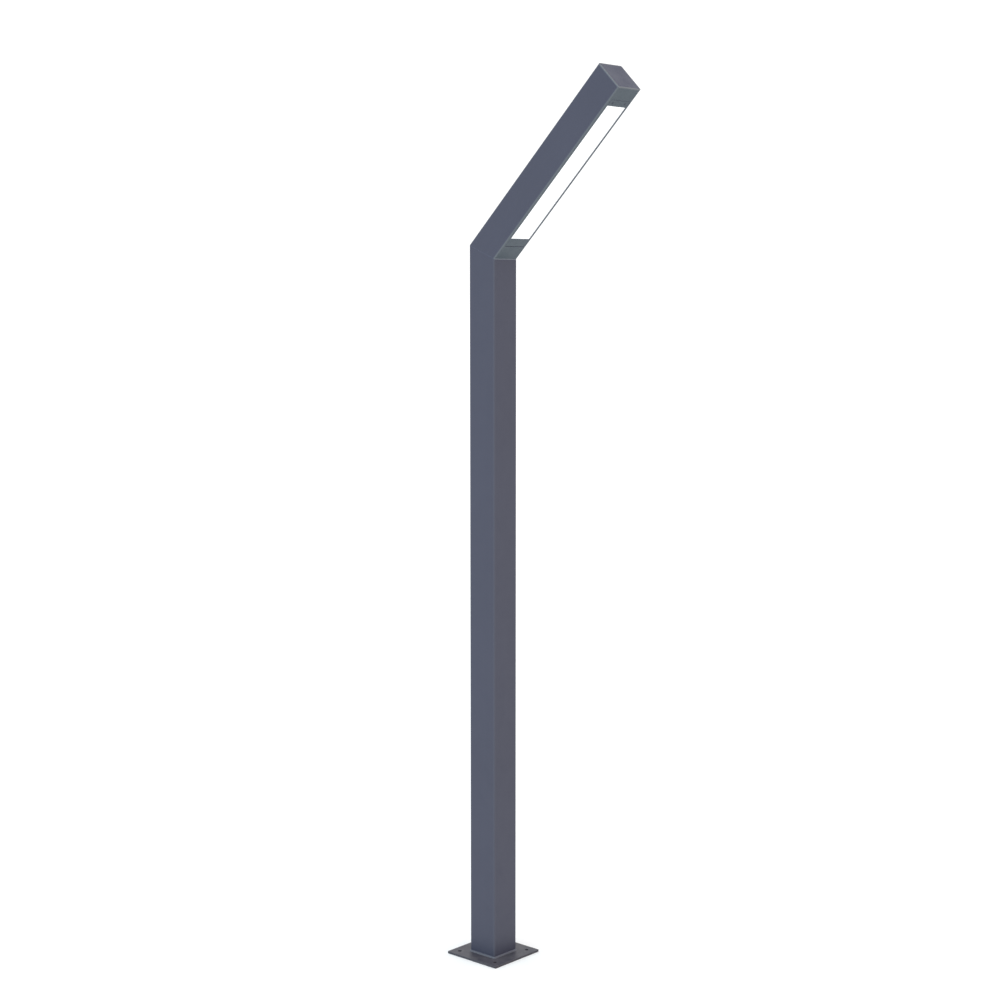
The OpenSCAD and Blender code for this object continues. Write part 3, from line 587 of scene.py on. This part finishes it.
def threaded_bar(work, place, radius, pitch, length):
    """Bar along z from z = 0 with a helical thread and a pointed lead at its end."""
    depth = 0.55 * pitch
    rings_per_pitch = 5
    steps = max(8, int(length / pitch * rings_per_pitch))
    lead = 1.2 * pitch

    def ring_at(z):
        fade = min(1.0, (length - z) / lead)

        def ring(angle):
            phase = (z / pitch - angle / FULL_TURN) % 1.0
            return radius - depth * (1 - fade) - depth * abs(2 * phase - 1) * fade, z

        return ring

    turned(work, place, [ring_at(length * i / steps) for i in range(steps + 1)], count=24)


def pointing(spot, direction):
    """Frame at spot with its z along direction."""
    return Matrix.Translation(spot) @ direction.to_track_quat("Z", "Y").to_matrix().to_4x4()


def trail(spot, ahead, side, legs):
    """Stations of a cable, as (point, direction). A leg is (length,) or (turn towards side, radius)."""
    step = math.radians(6)
    stride = 40 * MM
    stations = [(spot.copy(), ahead.copy())]
    for leg in legs:
        if len(leg) == 1:
            length = leg[0]
            pieces = max(1, int(length / stride))
            for _ in range(pieces):
                spot = spot + ahead * (length / pieces)
                stations.append((spot, ahead))
            continue
        turn, radius = leg
        outward = math.copysign(radius, turn)
        centre = spot + side * outward
        count = max(2, math.ceil(abs(turn) / step))
        first, across = ahead, side
        for i in range(1, count + 1):
            angle = turn * i / count
            ahead = first * math.cos(angle) + across * math.sin(angle)
            side = across * math.cos(angle) - first * math.sin(angle)
            spot = centre - side * outward
            stations.append((spot, ahead))
    return stations


def cable(work, stations, flat, radius, sides=16):
    """Round sheath along stations that lie in one plane, whose normal is flat. UVs run round it."""
    layer = work.loops.layers.uv.verify()
    rings = []
    for spot, ahead in stations:
        across = ahead.cross(flat)
        rings.append([
            spot + (flat * math.cos(a) + across * math.sin(a)) * radius
            for a in (FULL_TURN * i / sides for i in range(sides))
        ])
    loops = loft(work, rings)
    column = {vertex: i for loop in loops for i, vertex in enumerate(loop)}
    for face in work.faces:
        if len(face.verts) != 4:
            continue
        wraps = {column.get(vertex, 0) for vertex in face.verts} >= {0, sides - 1}
        for corner in face.loops:
            place = column.get(corner.vert, 0)
            if wraps and place == 0:
                place = sides
            corner[layer].uv = (place / sides, 0)


def chamfered_box(work, low, high, chamfer):
    """Box with all its edges chamfered."""
    middle, size = (low + high) / 2, high - low
    made = bmesh.ops.create_cube(
        work, size=1, matrix=Matrix.Translation(middle) @ Matrix.Diagonal((*size, 1))
    )
    edges = list({edge for vertex in made["verts"] for edge in vertex.link_edges})
    bmesh.ops.bevel(
        work, geom=edges, offset=chamfer, offset_type="OFFSET", segments=1, profile=0.5, affect="EDGES"
    )


def rounded_outline(half_a, half_b, corner):
    """Points of a rounded rectangle about the origin, anticlockwise."""
    points = []
    steps = 6
    for turn, (sign_a, sign_b) in enumerate(((1, 1), (-1, 1), (-1, -1), (1, -1))):
        for i in range(steps + 1):
            angle = math.pi / 2 * (turn + i / steps)
            points.append((
                sign_a * (half_a - corner) + corner * math.cos(angle),
                sign_b * (half_b - corner) + corner * math.sin(angle),
            ))
    return points


def soften(node, edge):
    """Stands a copy of a CAD seal in its place, with its edges rounded as rubber's are."""
    work = bmesh.new()
    work.from_mesh(NODES[node].data)
    bmesh.ops.remove_doubles(work, verts=work.verts, dist=SAME_SPOT)
    bmesh.ops.dissolve_limit(
        work, angle_limit=math.radians(0.5), verts=work.verts, edges=work.edges,
        use_dissolve_boundaries=False,
    )
    crisp = [e for e in work.edges if e.is_manifold and e.calc_face_angle() > CRISP_ANGLE]
    bmesh.ops.bevel(
        work, geom=crisp, offset=edge, offset_type="OFFSET", segments=3, profile=0.5,
        affect="EDGES", clamp_overlap=True,
    )
    return put(f"{node}_soft", work, node)


def dress(node, edge, material):
    """Keeps a CAD node, with its edges broken by a modifier and its finish put on."""
    piece = NODES[node]
    weld = piece.modifiers.new("weld", "WELD")
    weld.merge_threshold = SAME_SPOT
    bevel = piece.modifiers.new("edges", "BEVEL")
    bevel.width = edge
    bevel.segments = 2
    bevel.limit_method = "ANGLE"
    bevel.angle_limit = CRISP_ANGLE
    bevel.use_clamp_overlap = True
    bevel.miter_outer = "MITER_ARC"
    normals = piece.modifiers.new("shading", "WEIGHTED_NORMAL")
    normals.keep_sharp = True
    for slot in piece.material_slots:
        slot.material = material


# ---------------------------------------------------------------- post

TUBE_CORNER = 6 * MM


def weld_profile(leg, ripple):
    """Section of a fillet weld as (out, up) points, its corner first and its face bulging."""
    points = [(0, 0)]
    steps = 8
    bulge = 0.10 * leg
    # The face bulges equally out and up
    diagonal = 0.7
    for i in range(steps + 1):
        share = i / steps
        swell = diagonal * (bulge + ripple(share)) * math.sin(math.pi * share)
        points.append((leg * share + swell, leg * (1 - share) + swell))
    return points


def ripples(travel, pitch, depth):
    """Height of a weld's ripples at a distance along it. They trail behind in its middle."""

    def height(share):
        lag = 0.8 * math.sin(math.pi * share)
        return depth * abs(math.sin(math.pi * (travel / pitch + lag)))

    return height


def make_base_weld():
    """Fillet bead round the column's foot."""
    low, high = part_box("base_weld")
    leg = high.z - low.z
    half = high.x - leg
    flat = half - TUBE_CORNER
    step = 1.0 * MM
    pitch = 4.0 * MM
    depth = 0.7 * MM
    count = int(2 * flat / step)
    arc = 10
    stations = []
    for side in range(4):
        turn = Matrix.Rotation(side * math.pi / 2, 3, "Z")
        for i in range(count):
            stations.append((turn @ Vector((half, 2 * flat * i / count - flat, 0)), turn @ X_AXIS))
        for i in range(arc):
            angle = math.pi / 2 * i / arc
            out = Vector((math.cos(angle), math.sin(angle), 0))
            stations.append((turn @ (Vector((flat, flat, 0)) + out * TUBE_CORNER), turn @ out))
    rings = []
    for i, (spot, out) in enumerate(stations):
        profile = weld_profile(leg, ripples(i * step, pitch, depth))
        rings.append([spot + out * a + Z_AXIS * (low.z + b) for a, b in profile])
    work = bmesh.new()
    loft(work, rings, closed=True)
    weld = put("base_weld_bead", work, "base_weld", sharp=60)
    # The bead takes the lighter paint, a painted highlight
    weld.data.materials[0] = WELD_HIGHLIGHT_PAINT


def bead(work, start, end, out, up, leg):
    """Short straight fillet weld from start to end, thinner at both ends."""
    along = end - start
    step = 0.8 * MM
    pitch = 2.6 * MM
    depth = 0.3 * MM
    count = int(along.length / step)
    rings = []
    for i in range(count + 1):
        from_end = min(i, count - i) / count
        fade = min(1.0, 0.35 + 6.6 * from_end)
        profile = weld_profile(leg * fade, ripples(i * step, pitch, depth))
        rings.append([start + along * i / count + out * a + up * b for a, b in profile])
    loft(work, rings)


def make_hinge_welds():
    """Beads down the outer edges of the hinge leaves, on the column and on the door."""
    leg = 2.4 * MM
    inset = 4 * MM
    face = COLUMN_LOW.x
    rows = (("bracket_welds", "door_hinge_brackets", 1), ("leaf_welds", "door_hinge_leaves", -1))
    for name, node, side in rows:
        work = bmesh.new()
        for low, high in solids(node):
            y = high.y if side > 0 else low.y
            start = Vector((face, y, low.z + inset))
            end = Vector((face, y, high.z - inset))
            bead(work, start, end, Y_AXIS * side, -X_AXIS, leg)
        put(name, work, node, beside=True, sharp=60)


def bore_radius(node, middle, axis):
    """Distance from a line through middle along axis to the nearest corner of a CAD node."""
    gaps = []
    for vertex in NODES[node].data.vertices:
        away = vertex.co - middle
        gaps.append((away - axis * away.dot(axis)).length)
    return min(gaps)


def make_nuts(node, place=IDENTITY):
    """Chamfered hexagon nuts whose axes run along x."""
    work = bmesh.new()
    axis = (place.to_3x3() @ X_AXIS).normalized()
    for low, high in solids(node, place):
        middle = (low + high) / 2
        size = high - low
        bore = bore_radius(node, place @ middle, axis)
        spot = Matrix.Translation((low.x, middle.y, middle.z)) @ Matrix.Rotation(math.pi / 2, 4, "Y")
        hex_nut(work, spot, min(size.y, size.z), size.x, bore)
    put(f"{node}_cut", work, node, place)


def make_earth_stud():
    """Threaded stud that points out of the column's wall."""
    low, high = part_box("earth_stud")
    middle = (low + high) / 2
    radius = (high.y - low.y) / 2
    pitch = 1.25 * MM
    work = bmesh.new()
    root = pointing(Vector((high.x, middle.y, middle.z)), -X_AXIS)
    threaded_bar(work, root, radius, pitch, high.x - low.x)
    put("earth_stud_thread", work, "earth_stud")


def make_earth_wire():
    """Striped wire that drops from its ring on the stud, turns back up and enters a gland."""
    low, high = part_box("earth_wire")
    stud_low, stud_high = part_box("earth_stud")
    stud = (stud_low + stud_high) / 2
    stud_r = (stud_high.y - stud_low.y) / 2
    wire_r = 2 * MM
    far_x = low.x + wire_r
    ring_x = high.x - wire_r
    bend = (ring_x - far_x) / 2
    down = stud.z - low.z - wire_r - bend
    work = bmesh.new()
    start = Vector((ring_x, stud.y, stud.z - stud_r - 2 * wire_r))
    legs = [(down - stud_r - 2 * wire_r,), (-math.pi, bend), (high.z - stud.z + down,)]
    cable(work, trail(start, -Z_AXIS, X_AXIS, legs), Y_AXIS, wire_r)
    put("earth_wire_sheath", work, "earth_wire")
    # The crimped ring terminal at its end
    work = bmesh.new()
    half_t = 0.8 * MM
    eye = stud_r + 0.1 * MM
    rim = 2 * stud_r
    ring = [(eye, -half_t), (rim, -half_t), (rim, half_t), (eye, half_t)]
    turned(work, pointing(Vector((ring_x, stud.y, stud.z)), X_AXIS), ring, closed=True)
    barrel = pointing(start + Z_AXIS * wire_r, -Z_AXIS)
    wide, crimped, end = 3.0 * MM, 2.6 * MM, 2.5 * MM
    sleeve = [(2.7 * MM, -1 * MM), (wide, 1 * MM), (crimped, 4 * MM), (wide, 7 * MM), (end, 9 * MM)]
    turned(work, barrel, sleeve, count=20)
    put("earth_ring_terminal", work, "earth_wire", beside=True, slot="stainless_steel")


def make_glands():
    """Cable glands: a hexagon body and a fluted dome nut over a sealing insert."""
    box_middle = sum(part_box("fuse_box"), Vector()) / 2
    hex_h = 8 * MM
    hex_lead = 0.6 * MM
    dome_r = 9 * MM
    neck_r = dome_r - 0.8 * MM
    flutes, flute_depth = 14, 0.035

    def fluted(radius, z):
        return lambda angle: (radius * (1 - flute_depth * (0.5 + 0.5 * math.cos(flutes * angle))), z)

    work = bmesh.new()
    insert = bmesh.new()
    for low, high in solids("cable_glands"):
        middle = (low + high) / 2
        up = middle.z > box_middle.z
        seat = Vector((middle.x, middle.y, low.z if up else high.z))
        spot = pointing(seat, Z_AXIS if up else -Z_AXIS)
        bore = bore_radius("cable_glands", middle, Z_AXIS)
        flats = min(high.x - low.x, high.y - low.y)
        height = high.z - low.z
        face = HEX_FACE * flats
        mouth = bore + 1.2 * MM
        recess = height - 1.5 * MM
        rings = [
            (bore, 0), (face, 0), hex_ring(flats, hex_lead), hex_ring(flats, hex_h - hex_lead),
            (face, hex_h), (neck_r, hex_h), (neck_r, hex_h + 0.8 * MM),
            fluted(dome_r, hex_h + 1.2 * MM), fluted(dome_r, height - 3.2 * MM),
            (dome_r - 0.7 * MM, height - 1.6 * MM), (dome_r - 2.0 * MM, height - 0.4 * MM),
            (mouth, height), (mouth, recess), (bore, recess),
        ]
        turned(work, spot, rings, closed=True, count=6 * flutes)
        lip_foot = height - 1.6 * MM
        lip = [
            (bore, lip_foot), (bore + 1.1 * MM, lip_foot),
            (bore + 1.0 * MM, height - 0.2 * MM), (bore + 0.5 * MM, height + 0.3 * MM), (bore, height),
        ]
        turned(insert, spot, lip, closed=True)
    put("gland_bodies", work, "cable_glands", sharp=25)
    put("gland_inserts", insert, "cable_glands", beside=True, slot="black_rubber")


def make_riser():
    """Supply cable from the fuse box's gland up the column and into the head."""
    low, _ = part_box("riser_cable")
    glands = [sum(box, Vector()) / 2 for box in solids("cable_glands")]
    axis_x = max(glands, key=lambda spot: spot.z).x
    plug_low, plug_high = place_box("supply_plug", HEAD)
    _, end_high = place_box("riser_cable", HEAD)
    head_x = (plug_low.x + plug_high.x) / 2
    radius = 5 * MM
    bend = 60 * MM
    corner_z = head_x * math.tan(HEAD_LEAN / 2)
    corner = HEAD @ Vector((head_x, 0, corner_z))
    cut = bend * math.tan(HEAD_LEAN / 2)
    work = bmesh.new()
    start = Vector((axis_x, 0, low.z))
    legs = [(corner.z - cut - low.z,), (HEAD_LEAN, bend), (end_high.z - corner_z - cut,)]
    cable(work, trail(start, Z_AXIS, X_AXIS, legs), Y_AXIS, radius, 20)
    put("riser_sheath", work, "riser_cable")


def connector_rings(low, high, steps):
    """Rounded outlines of a box, seen along z. Each step is how far it is drawn in, and its height."""
    middle = (low + high) / 2
    half_x, half_y = (high.x - low.x) / 2, (high.y - low.y) / 2
    corner, least_corner = 3 * MM, 0.6 * MM
    rings = []
    for inset, z in steps:
        outline = rounded_outline(half_x - inset, half_y - inset, max(corner - inset, least_corner))
        rings.append([Vector((middle.x + a, middle.y + b, z)) for a, b in outline])
    return rings


def make_socket():
    """Fixed socket whose pocket takes the plug's nose, with a collar at its mouth."""
    low, high = place_box("supply_socket", HEAD)
    step = 1 * MM
    wall = 4 * MM
    lead = 0.5 * MM
    rim = 0.6 * MM
    collar = high.z - 8 * MM
    steps = [
        (step + lead, low.z), (step, low.z + lead), (step, collar - step), (0, collar),
        (0, high.z - rim), (rim, high.z), (3.6 * MM, high.z), (wall, high.z - lead),
        (wall, high.z - 10 * MM),
    ]
    work = bmesh.new()
    loft(work, connector_rings(low, high, steps))
    put("supply_socket_shell", work, "supply_socket", HEAD)


def make_plug():
    """Plug with a nose for the socket and grip ribs round its body."""
    low, high = place_box("supply_plug", HEAD)
    mouth = place_box("supply_socket", HEAD)[1].z
    nose = 2.9 * MM
    groove = 0.8 * MM
    rib_start, rib_pitch, ribs = mouth + 6.5 * MM, 2.6 * MM, 6
    steps = [
        (nose + 0.4 * MM, low.z), (nose, low.z + 0.6 * MM), (nose, mouth),
        (0.6 * MM, mouth + 0.1 * MM), (0, mouth + 0.7 * MM), (0, mouth + 6 * MM),
    ]
    for i in range(ribs):
        z = rib_start + i * rib_pitch
        steps += [(groove, z), (groove, z + 1.1 * MM), (0, z + 1.4 * MM), (0, z + 2.3 * MM)]
    steps += [(groove, high.z - 3 * MM), (2.4 * MM, high.z - 0.4 * MM), (3.2 * MM, high.z)]
    work = bmesh.new()
    loft(work, connector_rings(low, high, steps))
    put("supply_plug_grip", work, "supply_plug", HEAD)


def make_clamp_screws():
    """Two screws that hold the cable clamp to its bracket."""
    low, high = place_box("cable_clamp", HEAD)
    middle_z = (low.z + high.z) / 2
    inset = 4.5 * MM
    head_r, head_h, drive = 3 * MM, 2.2 * MM, 2.4 * MM
    work = bmesh.new()
    for y in (low.y + inset, high.y - inset):
        pan_head(work, pointing(Vector((high.x, y, middle_z)), X_AXIS), head_r, head_h, drive)
    put("cable_clamp_screws", work, "cable_clamp", HEAD, beside=True, slot="stainless_steel")


# ---------------------------------------------------------------- light tray


def make_diffuser():
    """Opal panel with a lowered rim and a slightly crowned face."""
    low, high = place_box("diffuser", HEAD)
    middle = (low + high) / 2
    half_y, half_z = (high.y - low.y) / 2, (high.z - low.z) / 2

    corner, least_corner = 2.5 * MM, 0.5 * MM
    edge = 0.4 * MM

    def ring(inset, x):
        outline = rounded_outline(half_y - inset, half_z - inset, max(corner - inset, least_corner))
        return [Vector((x, middle.y + a, middle.z + b)) for a, b in outline]

    # How far in from the panel's edge each step of its face is, and how deep it lies below the crown
    steps = [
        (0, 0.9 * MM), (0.3 * MM, 0.6 * MM), (2.6 * MM, 0.6 * MM), (3.0 * MM, 0.3 * MM),
        (3.6 * MM, 0.1 * MM), (12 * MM, 0.03 * MM), (30 * MM, 0),
    ]
    rings = [ring(edge, low.x), ring(0, low.x + edge)]
    rings += [ring(inset, high.x - depth) for inset, depth in steps]
    work = bmesh.new()
    loft(work, rings)
    put("diffuser_panel", work, "diffuser", HEAD)


def make_leds():
    """LED packages: a white frame round a domed yellow lens."""
    frame_share = 0.7
    frames, domes = bmesh.new(), bmesh.new()
    for low, high in solids("leds", HEAD):
        middle = (low + high) / 2
        top = low.x + frame_share * (high.x - low.x)
        chamfered_box(frames, low, Vector((top, high.y, high.z)), 0.15 * MM)
        spot = pointing(Vector((top, middle.y, middle.z)), X_AXIS)
        dome_r = 0.4 * (high.y - low.y)
        rise = high.x - top
        rings = [(dome_r, 0), (0.9 * dome_r, 0.5 * rise), (0.6 * dome_r, 0.85 * rise), (0.2 * dome_r, rise)]
        turned(domes, spot, rings, count=12)
    put("led_domes", domes, "leds", HEAD)
    put("led_frames", frames, "leds", HEAD, beside=True, slot="white_plastic")


def make_screw_heads(node, outward):
    """Pan heads in place of the round stubs of a CAD node. Their axes run along the head's x."""
    work = bmesh.new()
    for low, high in solids(node, HEAD):
        middle = (low + high) / 2
        seat = low.x if outward > 0 else high.x
        radius = (high.y - low.y) / 2
        spot = pointing(Vector((seat, middle.y, middle.z)), X_AXIS * outward)
        pan_head(work, spot, radius, high.x - low.x, 0.9 * radius)
    put(f"{node}_heads", work, node, HEAD)


def make_captive_screws():
    """Screws that stay in the tray's latch end: coated socket heads on bright threaded shanks."""
    heads, shanks = bmesh.new(), bmesh.new()
    head_h = 2 * MM
    socket = 4 * MM
    sink = 0.2 * MM
    waist_r = 2.75 * MM
    thread_r, pitch = 3 * MM, 1 * MM
    lap = 0.1 * MM
    for low, high in solids("captive_screws", HEAD):
        middle = (low + high) / 2
        radius = (high.y - low.y) / 2
        seat = high.x - head_h
        spot = pointing(Vector((seat, middle.y, middle.z)), X_AXIS)
        rings = [
            (0.6 * radius, -sink), (radius - 0.3 * MM, -sink), (radius, 0.2 * MM),
            (radius, head_h - 0.5 * MM), (radius - 0.4 * MM, head_h), (0.56 * socket, head_h),
            hex_ring(socket, head_h - 0.2 * MM), hex_ring(socket, 0.6 * MM), (0.1 * socket, 0.4 * MM),
        ]
        turned(heads, spot, rings)
        length = seat - low.x
        back = pointing(Vector((seat, middle.y, middle.z)), -X_AXIS)
        plain = 0.5 * length
        turned(shanks, back, [(waist_r, 0), (waist_r, plain)], count=24)
        thread = back @ Matrix.Translation((0, 0, plain - lap))
        threaded_bar(shanks, thread, thread_r, pitch, length - plain + lap)
    put("captive_screw_heads", heads, "captive_screws", HEAD)
    put("captive_screw_shanks", shanks, "captive_screws", HEAD, beside=True, slot="stainless_steel")


LEAD_R = 2.5 * MM
JUMPER_R = 3.5 * MM


def make_driver_lead():
    """Lead that leaves the driver's far end and bends through the web to the first board."""
    low, high = place_box("driver_lead", HEAD)
    bend = 14 * MM
    start = Vector((low.x + LEAD_R, 0, low.z))
    legs = [(high.z - LEAD_R - bend - low.z,), (math.pi / 2, bend), (high.x - start.x - bend,)]
    work = bmesh.new()
    cable(work, trail(start, Z_AXIS, X_AXIS, legs), Y_AXIS, LEAD_R)
    put("driver_lead_sheath", work, "driver_lead", HEAD)


def jumper_ends():
    """Where the flexible cable leaves the plug and where it enters the driver, in the head's frame."""
    plug_low, plug_high = place_box("supply_plug", HEAD)
    x = (plug_low.x + plug_high.x) / 2
    return Vector((x, 0, plug_high.z)), Vector((x, 0, place_box("driver", HEAD)[0].z))


def make_jumper():
    """Flexible cable with a loop of slack, fixed to the plug at one end and to the driver at the other."""
    start, end = jumper_ends()
    turn = math.radians(100)
    bend = (end.z - start.z) / (4 * math.sin(turn))
    sink = 2 * MM
    legs = [(sink,), (turn, bend), (-2 * turn, bend), (turn, bend), (sink,)]
    work = bmesh.new()
    cable(work, trail(start - Z_AXIS * sink, Z_AXIS, Y_AXIS, legs), X_AXIS, JUMPER_R)
    sheath = put("jumper_sheath", work, "jumper_cable", HEAD, ride=False)
    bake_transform(sheath)


def make_boots():
    """Rubber strain reliefs where cables leave the plug and the driver."""
    start, end = jumper_ends()
    flange = 2.2 * MM
    groove = 0.5 * MM

    def boot(work, spot, direction, radius):
        rings = [(radius + flange, -0.5 * MM), (radius + flange, 1 * MM)]
        for i in range(3):
            z = (1.4 + 1.5 * i) * MM
            wide = radius + (1.6 - 0.35 * i) * MM
            rings += [(wide - groove, z), (wide - groove, z + 0.4 * MM)]
            rings += [(wide, z + 0.6 * MM), (wide, z + 1.1 * MM)]
        rings.append((radius + 0.15 * MM, 6 * MM))
        turned(work, pointing(spot, direction), rings, count=28)

    work = bmesh.new()
    boot(work, start, Z_AXIS, JUMPER_R)
    put("plug_boot", work, "supply_plug", HEAD, beside=True, slot="black_rubber")
    work = bmesh.new()
    boot(work, end, -Z_AXIS, JUMPER_R)
    lead_low, _ = place_box("driver_lead", HEAD)
    boot(work, Vector((lead_low.x + LEAD_R, 0, lead_low.z)), Z_AXIS, LEAD_R)
    put("driver_boots", work, "driver", HEAD, beside=True, slot="black_rubber")


# ---------------------------------------------------------------- everything put together

# Seals, and how far their edges are rounded
SOFT_EDGES = {"door_gasket": 0.4 * MM, "tray_seal": 0.7 * MM, "diffuser_seal": 0.3 * MM}

make_base_weld()
make_hinge_welds()
make_nuts("earth_nuts")
make_nuts("lock_nut")
make_nuts("latch_nuts", HEAD)
make_earth_stud()
make_earth_wire()
make_glands()
make_riser()
make_socket()
make_plug()
make_clamp_screws()
make_diffuser()
make_leds()
make_screw_heads("gear_screws", -1)
make_screw_heads("board_screws", 1)
make_captive_screws()
make_driver_lead()
make_jumper()
make_boots()
for node, edge in SOFT_EDGES.items():
    soften(node, edge)

# Nodes whose shape is made above, and those that keep their CAD shape but not the usual edge or finish
REPLACED = {
    "base_weld", "earth_nuts", "lock_nut", "latch_nuts", "earth_stud", "earth_wire", "cable_glands",
    "riser_cable", "supply_socket", "supply_plug", "diffuser", "leds", "gear_screws", "board_screws",
    "captive_screws", "driver_lead", "jumper_cable", *SOFT_EDGES,
}
BROKEN_EDGE = 0.4 * MM
WIDE_EDGES = {
    "driver": 0.8 * MM, "surge_protector": 1.0 * MM, "fuse_box_lid": 0.8 * MM, "base_plate": 0.8 * MM,
}
PAINTS = {
    "base_plate": PLATE_PAINT, "column_tube": COLUMN_PAINT, "mitre_weld": FOLD_WELD_PAINT,
    "head_tube": HEAD_PAINT, "head_end_cap": HEAD_PAINT,
    "tray_hinge_end": HEAD_PAINT, "tray_latch_end": HEAD_PAINT,
}
for node in NODES:
    if node not in REPLACED:
        dress(node, WIDE_EDGES.get(node, BROKEN_EDGE), PAINTS.get(node, MATERIALS[NODE_SLOT[node]]))


# ---------------------------------------------------------------- studio


def make_floor():
    """A plain pale floor, far wider than the view."""
    reach = 60
    work = bmesh.new()
    bmesh.ops.create_grid(work, x_segments=2, y_segments=2, size=reach)
    mesh = bpy.data.meshes.new("floor")
    work.to_mesh(mesh)
    work.free()
    floor = bpy.data.objects.new("floor", mesh)
    bpy.context.scene.collection.objects.link(floor)
    s = Shader("floor_look")
    s.colour(s.ramp(s.noise(3, detail=3), (0.90, 0.90, 0.90), (0.92, 0.92, 0.92), **MIDDLE))
    s.roughness(s.span(s.noise(20, detail=3), 0.7, 0.85))
    s.bump(s.noise(200, detail=3), distance=0.2 * MM, strength=0.2)
    s.set(Specular_IOR_Level=0.1, Emission_Color=(1, 1, 1, 1), Emission_Strength=0.07)
    mesh.materials.append(s.material)


def make_world(strength):
    """White behind everything, and soft even light from all round."""
    world = bpy.data.worlds.new("studio")
    bpy.context.scene.world = world
    world.use_nodes = True
    background = world.node_tree.nodes["Background"]
    background.inputs["Color"].default_value = (1, 1, 1, 1)
    background.inputs["Strength"].default_value = strength


def far_light(name, towards, strength, colour, spread, glossy):
    """Light from far away, the same at every height. Towards points at it and spread is how wide it is."""
    lamp = bpy.data.lights.new(name, "SUN")
    lamp.energy = strength
    lamp.color = colour
    lamp.angle = math.radians(spread)
    sun = bpy.data.objects.new(name, lamp)
    bpy.context.scene.collection.objects.link(sun)
    sun.rotation_euler = Vector(towards).to_track_quat("Z", "Y").to_euler()
    sun.visible_glossy = glossy


def make_camera():
    """The photograph's view."""
    lens = bpy.data.cameras.new("camera")
    lens.lens = CAMERA_LENS
    lens.sensor_width = SENSOR
    lens.clip_end = 200
    camera = bpy.data.objects.new("camera", lens)
    bpy.context.scene.collection.objects.link(camera)
    camera.location = CAMERA_SPOT
    camera.rotation_euler = (math.pi / 2 + CAMERA_PITCH, 0, -CAMERA_YAW)
    bpy.context.scene.camera = camera


make_floor()
make_world(strength=1.15)
far_light(
    "side_fill", towards=(-0.2, -1.0, 0.1), strength=1.4, colour=(0.16, 0.75, 1.0), spread=40, glossy=False,
)
far_light(
    "key", towards=(0.66, -0.74, 0.10), strength=0.45, colour=(1.0, 0.97, 0.95), spread=15, glossy=True,
)
make_camera()
bpy.context.scene.view_settings.view_transform = "Standard"
